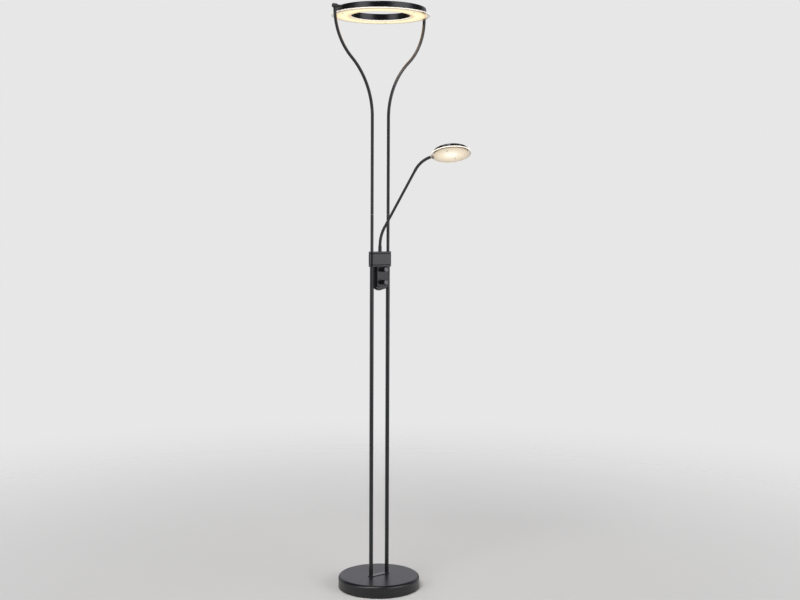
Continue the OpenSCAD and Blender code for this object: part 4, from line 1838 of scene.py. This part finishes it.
@dataclass
class ReadingArm:
    """The arm from its turning foot to the socket of its head.

    Attributes:
        wraps: Turns of wire in one link of a flexible neck.
        groove: How deep the groove between two turns is.
        bore: Radius of the hollow inside a neck.
        rounds: Steps round a neck.
        steps: Steps along one turn of wire.
    """

    wraps: int = 5
    groove: float = 0.55 * MM
    bore: float = 3 * MM
    rounds: int = 40
    steps: int = 10

    def build(self, bench: Bench) -> None:
        """Makes the foot, the two necks, the tube and the socket.

        Args:
            bench: Where the pieces are made.
        """
        self.foot(bench)
        lower = [joint_point(f"lower_bend_{k}") for k in range(1, 6)]
        upper = [joint_point(f"upper_bend_{k}") for k in range(1, 7)]
        half = np.linalg.norm(lower[1] - lower[0]) / 2
        start = np.array([0, 0, low_high("arm_ferrule")[1][2]])
        rise = unit(upper[0] - lower[-1])
        tip = joint_axis("head_roll")
        lower_ways = [start, *((a + b) / 2 for a, b in zip(lower, lower[1:]))]
        lower_ways.append(lower[-1] + half * rise)
        upper_ways = [upper[0] - half * rise, *((a + b) / 2 for a, b in zip(upper, upper[1:]))]
        upper_ways.append(upper[-1] + half * tip)
        names = ["arm_foot", "low_link_1", "low_link_2", "low_link_3", "low_link_4", "tube"]
        nodes = ["lower_neck_root"] + [f"lower_neck_{k}" for k in range(1, 5)]
        self.neck(bench, "lower_sleeve", lower, lower_ways, names, nodes)
        names = ["tube"] + [f"top_link_{k}" for k in range(1, 6)] + ["arm_tip"]
        nodes = ["", *(f"upper_neck_{k}" for k in range(1, 6))]
        self.neck(bench, "upper_sleeve", upper, upper_ways, names, nodes)
        self.tube(bench, lower_ways[-1], upper_ways[0])
        self.socket(bench, upper_ways[-1], tip)

    def foot(self, bench: Bench) -> None:
        """Turns the foot with its hidden stem, and a crimped ring near its top.

        Args:
            bench: Where the pieces are made.
        """
        low, high = low_high("arm_ferrule")
        radius, top = (high[0] - low[0]) / 2, high[2]
        seat = low_high("collar_top_cap")[1][2] + 0.3 * MM
        corners = [
            (2 * MM, low[2]),
            (4 * MM, low[2], 0.3 * MM),
            (4 * MM, seat),
            (radius, seat, 0.4 * MM),
            *groove(radius, top - 4.4 * MM, top - 3 * MM, 0.45 * MM, 0.4 * MM, 0.3 * MM),
            (radius, top, 0.6 * MM),
            (2 * MM, top),
        ]
        bench.make(Piece("arm_foot_ferrule", "arm_ferrule", "arm_foot"), lathe(corners, 56, 4))

    def neck(
        self,
        bench: Bench,
        name: str,
        joints: Sequence[Array],
        ways: Sequence[Array],
        bodies: Sequence[str],
        nodes: Sequence[str],
    ) -> None:
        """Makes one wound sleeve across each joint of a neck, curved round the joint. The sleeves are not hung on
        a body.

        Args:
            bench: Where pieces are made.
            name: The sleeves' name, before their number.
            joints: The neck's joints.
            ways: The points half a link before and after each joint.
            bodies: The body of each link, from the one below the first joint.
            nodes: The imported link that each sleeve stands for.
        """
        low, high = low_high("lower_neck_root")
        radius = (high[0] - low[0]) / 2
        for k, joint in enumerate(joints):
            start, stop = ways[k], ways[k + 1]
            piece = Piece(f"{name}_{k + 1}", nodes[k], bodies[k], Slot.NECK, crease=60.0)
            made = bench.finish(piece, self.sleeve(start, joint, stop, radius))
            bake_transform(made)

    def sleeve(self, start: Array, joint: Array, stop: Array, radius: float) -> Skin:
        """Winds a wire along an arc that touches start-joint and joint-stop.

        The arc's point at the angle p is start + R (ahead sin p + inward (1 - cos p)), with
        R = |joint - start| / tan(bend / 2). At the angle a round that point the surface's radius
        is radius - groove (1 - sqrt |cos u|), with u = pi (wraps share - a / (2 pi)), which gives
        a round crown for each turn of wire. Inside is a plain bore.

        Args:
            start: The lower end of the sleeve's middle line.
            joint: The joint that it covers.
            stop: The upper end of the line.
            radius: The sleeve's outer radius.

        Returns:
            The wound surface.
        """
        ahead, after = unit(joint - start), unit(stop - joint)
        bend = math.acos(float(np.clip(ahead @ after, -1, 1)))
        inward = unit(after - ahead * (after @ ahead))
        side = np.cross(ahead, inward)
        curve = np.linalg.norm(joint - start) / math.tan(bend / 2)
        share = np.linspace(0, 1, self.wraps * self.steps + 1)
        angle = (share * bend)[:, None]
        line = start + curve * (ahead * np.sin(angle) + inward * (1 - np.cos(angle)))
        tangent = ahead * np.cos(angle) + inward * np.sin(angle)
        round_ = np.linspace(0, 2 * math.pi, self.rounds, endpoint=False)
        phase = math.pi * (self.wraps * share[:, None] - round_[None] / (2 * math.pi))
        outside = radius - self.groove * (1 - np.sqrt(np.abs(np.cos(phase))))
        inside = np.full((2, self.rounds), self.bore)
        return sweep(
            np.concatenate([line, line[[-1, 0]]]),
            np.concatenate([tangent, tangent[[-1, 0]]]),
            np.concatenate([outside, inside]),
            side,
            self.rounds,
        )

    def tube(self, bench: Bench, start: Array, stop: Array) -> None:
        """Turns the rigid tube between the necks, with a small step at each end.

        Args:
            bench: Where the pieces are made.
            start: Its lower end.
            stop: Its upper end.
        """
        length = float(np.linalg.norm(stop - start))
        radius, bore = 4.1 * MM, 2.85 * MM
        collar, step = 4.45 * MM, 5 * MM
        corners = [
            (bore, 0.05 * MM),
            (collar, 0.05 * MM, 0.3 * MM),
            (collar, step, 0.3 * MM),
            (radius, step + 0.6 * MM, 0.6 * MM),
            (radius, length - step - 0.6 * MM, 0.6 * MM),
            (collar, length - step, 0.3 * MM),
            (collar, length - 0.05 * MM, 0.3 * MM),
            (bore, length - 0.05 * MM),
        ]
        place = Place.along(start, stop - start, joint_axis("lower_bend_1"))
        bench.make(Piece("arm_rigid_tube", "arm_tube", "tube"), lathe(corners, 56, 4).laid(place))

    def socket(self, bench: Bench, start: Array, tip: Array) -> None:
        """Turns the socket and the hollow pin that the head turns on.

        Args:
            bench: Where the pieces are made.
            start: Its lower end.
            tip: The unit direction of the arm's end.
        """
        turn = joint_point("head_roll")
        body = float(np.linalg.norm(turn - start)) - 0.5 * MM
        radius, pin, lip, bore = 4.7 * MM, 3.4 * MM, 3.9 * MM, 2 * MM
        corners = [
            (bore, 0.05 * MM),
            (radius, 0.05 * MM, 0.5 * MM),
            *groove(radius, 2.2 * MM, 3.6 * MM, 0.4 * MM, 0.4 * MM, 0.2 * MM),
            (radius, body, 0.6 * MM),
            (pin, body),
            (pin, body + 5.1 * MM),
            (lip, body + 5.1 * MM),
            (lip, body + 7.1 * MM),
            (bore, body + 7.1 * MM),
        ]
        place = Place.along(start, tip, joint_axis("upper_bend_1"))
        bench.make(
            Piece("head_socket_barrel", "head_socket", "arm_tip"),
            lathe(corners, 48, 4).laid(place),
        )


@dataclass
class ReadingHead:
    """The disc light at the arm's end.

    Attributes:
        roll: Turn of the head about the arm's end, in degrees.
        case_radius: Radius of the housing.
        case_height: Height of the housing.
        drop: How far the housing's underside lies below the arm's axis.
        rim: Radius of the lit plate.
        plate_height: Thickness of the lit plate.
        plate_gap: Gap between the housing and the plate.
        frost: Radius of its frosted zone.
        wall: Wall of the housing.
        screw_radius: Distance of the screws from the middle.
        pin_hole: Radius of the housing's hole for the arm's pin.
        watts: The power of the light that the plate throws.
        place: The head's own axes.
    """

    roll: float = -17.0
    case_radius: float = 52 * MM
    case_height: float = 12.4 * MM
    drop: float = 5 * MM
    rim: float = 62 * MM
    plate_height: float = 3 * MM
    plate_gap: float = 0.05 * MM
    frost: float = 52.3 * MM
    wall: float = 1.5 * MM
    screw_radius: float = 33 * MM
    pin_hole: float = 3.45 * MM
    watts: float = 0.2
    place: Place = field(init=False)

    def __post_init__(self) -> None:
        """Works out the head's own axes: X outwards along the arm, Z away from the lit side."""
        tip = joint_axis("head_roll")
        hinge = joint_axis("upper_bend_1")
        down = turned(np.cross(hinge, tip), tip, self.roll)
        self.place = Place.along(joint_point("head_roll") + tip * self.case_radius, -down, tip)

    def build(self, bench: Bench) -> None:
        """Makes the housing, the plate and the screws.

        Args:
            bench: Where the pieces are made.
        """
        self.housing(bench)
        self.disc(bench)
        self.fixings(bench)

    def housing(self, bench: Bench) -> None:
        """Turns the shallow housing and bores its wall for the arm's pin.

        Args:
            bench: Where the pieces are made.
        """
        outer, bottom = self.case_radius, -self.drop
        top = bottom + self.case_height
        wall, hub = self.wall, 0.4 * MM
        corners = [
            (hub, top),
            (outer, top, 2.5 * MM),
            (outer, bottom, 0.4 * MM),
            (outer - wall, bottom, 0.3 * MM),
            (outer - wall, top - wall, 1 * MM),
            (hub, top - wall),
        ]
        inwards = Place.along((0, 0, 0), X, Z)
        bore = rod(self.pin_hole, -outer - 2 * MM, -outer + 6 * MM).laid(inwards)
        bench.make(
            Piece("head_housing_case", "head_housing", "reading_head"),
            lathe(corners, 160, 8, closed=False).laid(self.place),
            cuts=[bore.laid(self.place)],
        )

    def disc(self, bench: Bench) -> None:
        """Turns the lit plate: its frosted zone, clear rim and edge are zones of one surface.

        Args:
            bench: Where the pieces are made.
        """
        high = -self.drop - self.plate_gap
        low = high - self.plate_height
        hub, edge = 0.4 * MM, 0.5 * MM
        corners = [
            (hub, low),
            (self.frost, low),
            (self.rim, low, edge),
            (self.rim, high, edge),
            (self.frost, high),
            (hub, high),
        ]

        def zone(middles: Array) -> Array:
            """Gives 0 on the frosted zone, 1 on the clear rim and 2 on the edge."""
            radius = np.hypot(middles[:, 0], middles[:, 1])
            return np.where(radius < self.frost, 0, np.where(radius > self.rim - edge, 2, 1))

        stops = (
            (0.0, (0.92, 0.90, 0.86)),
            (0.25, (0.88, 0.83, 0.70)),
            (0.55, (0.72, 0.63, 0.46)),
            (0.85, (0.56, 0.47, 0.34)),
            (1.0, (0.44, 0.34, 0.22)),
        )
        opal = LitOpal(self.place, 0.0, self.frost, stops).make("lit_head_opal")
        rim = ClearAcrylic(self.place, self.case_radius, self.frost + 2 * MM)
        clear = rim.make("lit_head_clear")
        under = Place(self.place.lay((low - MM) * Z), self.place.axes)
        Glow("head_glow", "reading_head", self.frost, self.watts).hang(under)
        zones = (opal, clear, LitEdge().make("lit_head_edge"))
        bench.make(
            Piece(
                "head_diffuser_disc",
                "head_diffuser",
                "reading_head",
                Slot.ACRYLIC,
                finishes=zones,
            ),
            lathe(corners, 160, 4, closed=False, zone=zone).laid(self.place),
        )

    def fixings(self, bench: Bench) -> None:
        """Sets the two screws that hold the plate.

        Args:
            bench: Where the pieces are made.
        """
        low = -self.drop - self.plate_gap - self.plate_height
        spots = [(0, side * self.screw_radius, low) for side in (-1, 1)]
        skin = screw_set(spots, 2.3 * MM, 0.9 * MM, shank=1.25 * MM, depth=8 * MM).laid(self.place)
        bench.make(Piece("head_screw_pair", "head_screws", "reading_head", Slot.STEEL), skin)


# ----- Studio -----


def look(thing: bpy.types.Object, spot: Array, ahead: Array, up: Array) -> None:
    """Stands a lamp or a camera at a spot so that its -Z looks ahead and its Y is nearest to up.

    Args:
        thing: The lamp or the camera.
        spot: Where it stands.
        ahead: The unit direction that it faces.
        up: The direction that is up in its view.
    """
    side = unit(np.cross(ahead, up)) if abs(ahead @ up) < 0.999 else X
    upright = np.cross(side, ahead)
    turn = np.stack([side, upright, -ahead], axis=1)
    thing.matrix_world = Matrix.Translation(spot.tolist()) @ Matrix(turn.tolist()).to_4x4()


@dataclass
class Viewpoint:
    """Where the camera stands and looks.

    Attributes:
        focal: Focal length in millimetres on a sensor 36 mm wide.
        distance: Distance from the lamp's axis.
        turn: Turn round the lamp in degrees from -Y towards -X.
        height: Height above the floor.
        aside: How far the view turns right of the lamp's axis, in degrees.
        tilt: Tilt of the view, in degrees.
        roll: Roll of the camera, in degrees.
    """

    focal: float = 54.115
    distance: float = 3.7288
    turn: float = 36.89
    height: float = 1.16506
    aside: float = 0.964
    tilt: float = -3.949
    roll: float = 0.265

    def shoot(self) -> None:
        """Makes the camera."""
        data = bpy.data.cameras.new("camera")
        data.sensor_width = 36.0
        data.lens = self.focal
        made = add_object("camera", data)
        turn = math.radians(self.turn)
        outward = np.array([-math.sin(turn), -math.cos(turn), 0])
        spot = outward * self.distance + self.height * Z
        level = turned(-outward, Z, -self.aside)
        right = np.cross(level, Z)
        ahead = turned(level, right, self.tilt)
        look(made, spot, ahead, turned(np.cross(right, ahead), ahead, -self.roll))
        bpy.context.scene.camera = made


@dataclass
class Studio:
    """The pale floor, the soft sun and the pale surroundings with their two broad light walls.

    Attributes:
        view: The camera's direction, which the light walls stand on either side of.
        floor_radius: How far the floor goes.
        floor_tone: The floor's colour.
        backdrop: The brightness of the surroundings as the camera sees them.
        wall_tone: The colour of the light walls.
        gap: The brightness of the gap round the camera.
        left: The brightness of the light wall on the left.
        right: The brightness of the light wall on the right.
        rear: The brightness of the glow behind the lamp.
        ground: The brightness below the horizon.
        key: The strength of the sun.
        key_turn: Where the sun stands, in degrees right of the camera.
        key_height: How high the sun stands, in degrees.
        key_width: The sun's width, in degrees.
    """

    view: float = 36.89
    floor_radius: float = 3.4
    floor_tone: Vec = (0.80, 0.797, 0.772)
    backdrop: float = 0.80
    wall_tone: Vec = (0.98, 0.98, 1.05)
    gap: float = 0.03
    left: float = 2.1
    right: float = 2.25
    rear: float = 0.93
    ground: float = 0.66
    key: float = 1.5
    key_turn: float = -24.0
    key_height: float = 54.0
    key_width: float = 26.0

    def build(self) -> None:
        """Sets up the floor, the surroundings, the sun and the colour management."""
        self.floor()
        self.surroundings()
        self.sun()
        bpy.context.scene.view_settings.view_transform = "Standard"

    def bearing(self, turn: float) -> Array:
        """Gives the level direction that lies so many degrees right of the camera."""
        angle = math.radians(self.view - turn)
        return np.array([-math.sin(angle), -math.cos(angle), 0])

    def sun(self) -> None:
        """Makes the broad sun that gives the lamp its soft shadow."""
        data = bpy.data.lights.new("key", "SUN")
        data.energy = self.key
        data.angle = math.radians(self.key_width)
        made = add_object("key", data)
        rise = math.radians(self.key_height)
        toward = self.bearing(self.key_turn) * math.cos(rise) + Z * math.sin(rise)
        look(made, toward * 4, -toward, Z)

    def floor(self) -> None:
        """Lays a round floor that fades into the surroundings at its far edge."""
        angle = np.linspace(0, 2 * math.pi, 96, endpoint=False)
        points = self.floor_radius * np.stack([np.cos(angle), np.sin(angle), 0 * angle], axis=1)
        mesh = bpy.data.meshes.new("studio_floor")
        mesh.from_pydata(points.tolist(), [], [tuple(range(len(points)))])
        made = add_object("studio_floor", mesh)
        made.data.materials.append(self.floor_finish())

    def floor_finish(self) -> bpy.types.Material:
        """Mixes a pale matt floor into nothing towards its edge, so that no horizon shows.

        Returns:
            The floor's material.
        """
        shader = Shader.start("studio_floor")
        at = shader.spot()
        gone = (shader.from_axis(at) / self.floor_radius).rise(0.18, 0.96)
        tone = shader.noise(at, 3.0)
        paint = shader.blend(tone, self.floor_tone, scaled(self.floor_tone, 0.985))
        matt = shader.add("ShaderNodeBsdfDiffuse", {}, {"Color": paint})
        clear = shader.add("ShaderNodeBsdfTransparent")
        shader.end("Material", shader.add("ShaderNodeMixShader", {}, {0: gone, 1: matt, 2: clear}))
        return shader.owner

    def surroundings(self) -> None:
        """Lights the world by the direction that is looked in.

        The camera and clear plastic see an even pale backdrop. The rest sees a dim gap round the
        camera, a tall wall of light on either side of it that reaches further round low down than
        high up, a glow behind the lamp and a pale ground. The numbers in the soft steps are the
        cosine of the turn from the camera's side and the sine of the height above the horizon.
        """
        world = bpy.data.worlds.new("studio")
        bpy.context.scene.world = world
        sky = Shader(world)
        ray = sky.add("ShaderNodeTexCoord", output="Generated")
        toward = sky.along(ray, self.bearing(0))
        right = sky.along(ray, self.bearing(90))
        up = sky.along(ray, Z)
        facing = toward / (toward * toward + right * right).root()
        raised = up.rise(0.02, 0.12)
        reach = facing - 0.6 * raised
        walls = facing.rise(0.96, 0.76) * up.rise(0.66, 0.50)
        walls = walls * (1.0 - 0.15 * raised + 0.9 * up.rise(0.22, 0.36))
        left_wall = reach.rise(-0.30, 0.0) * (right < 0) * walls
        right_wall = reach.rise(-0.60, -0.20) * (right > 0) * walls
        behind = facing.rise(-0.40, -0.80) * up.rise(0.13, 0.22) * up.rise(0.70, 0.45)
        ground = up.rise(-0.06, -0.16)
        studio = self.gap + self.left * left_wall + self.right * right_wall + self.rear * behind
        studio = studio * (1.0 - ground) + self.ground * ground
        camera, through = (
            sky.add("ShaderNodeLightPath", output=f"Is {kind} Ray")
            for kind in ("Camera", "Transmission")
        )
        clear = camera.math("MAXIMUM", camera, through)
        strength = clear * self.backdrop + (1.0 - clear) * studio
        tint = sky.blend(clear, self.wall_tone, (1, 1, 1))
        light = sky.add("ShaderNodeBackground", {}, {"Color": tint, "Strength": strength})
        sky.end("World", light)


def main() -> None:
    """Builds the lamp, then the studio round it."""
    logging.basicConfig(level=logging.INFO, format="%(name)s: %(message)s")
    bench = Bench()
    bench.lay_in()
    for part in (Base(), Fork(), Collar(), Dimmer(), RingLight(), ReadingArm(), ReadingHead()):
        LOG.info("building %s", type(part).__name__)
        part.build(bench)
    bench.dress_nodes()
    Studio().build()
    Viewpoint().shoot()
    LOG.info("%d new pieces", len(bench.made))


if __name__ == "__main__":
    main()
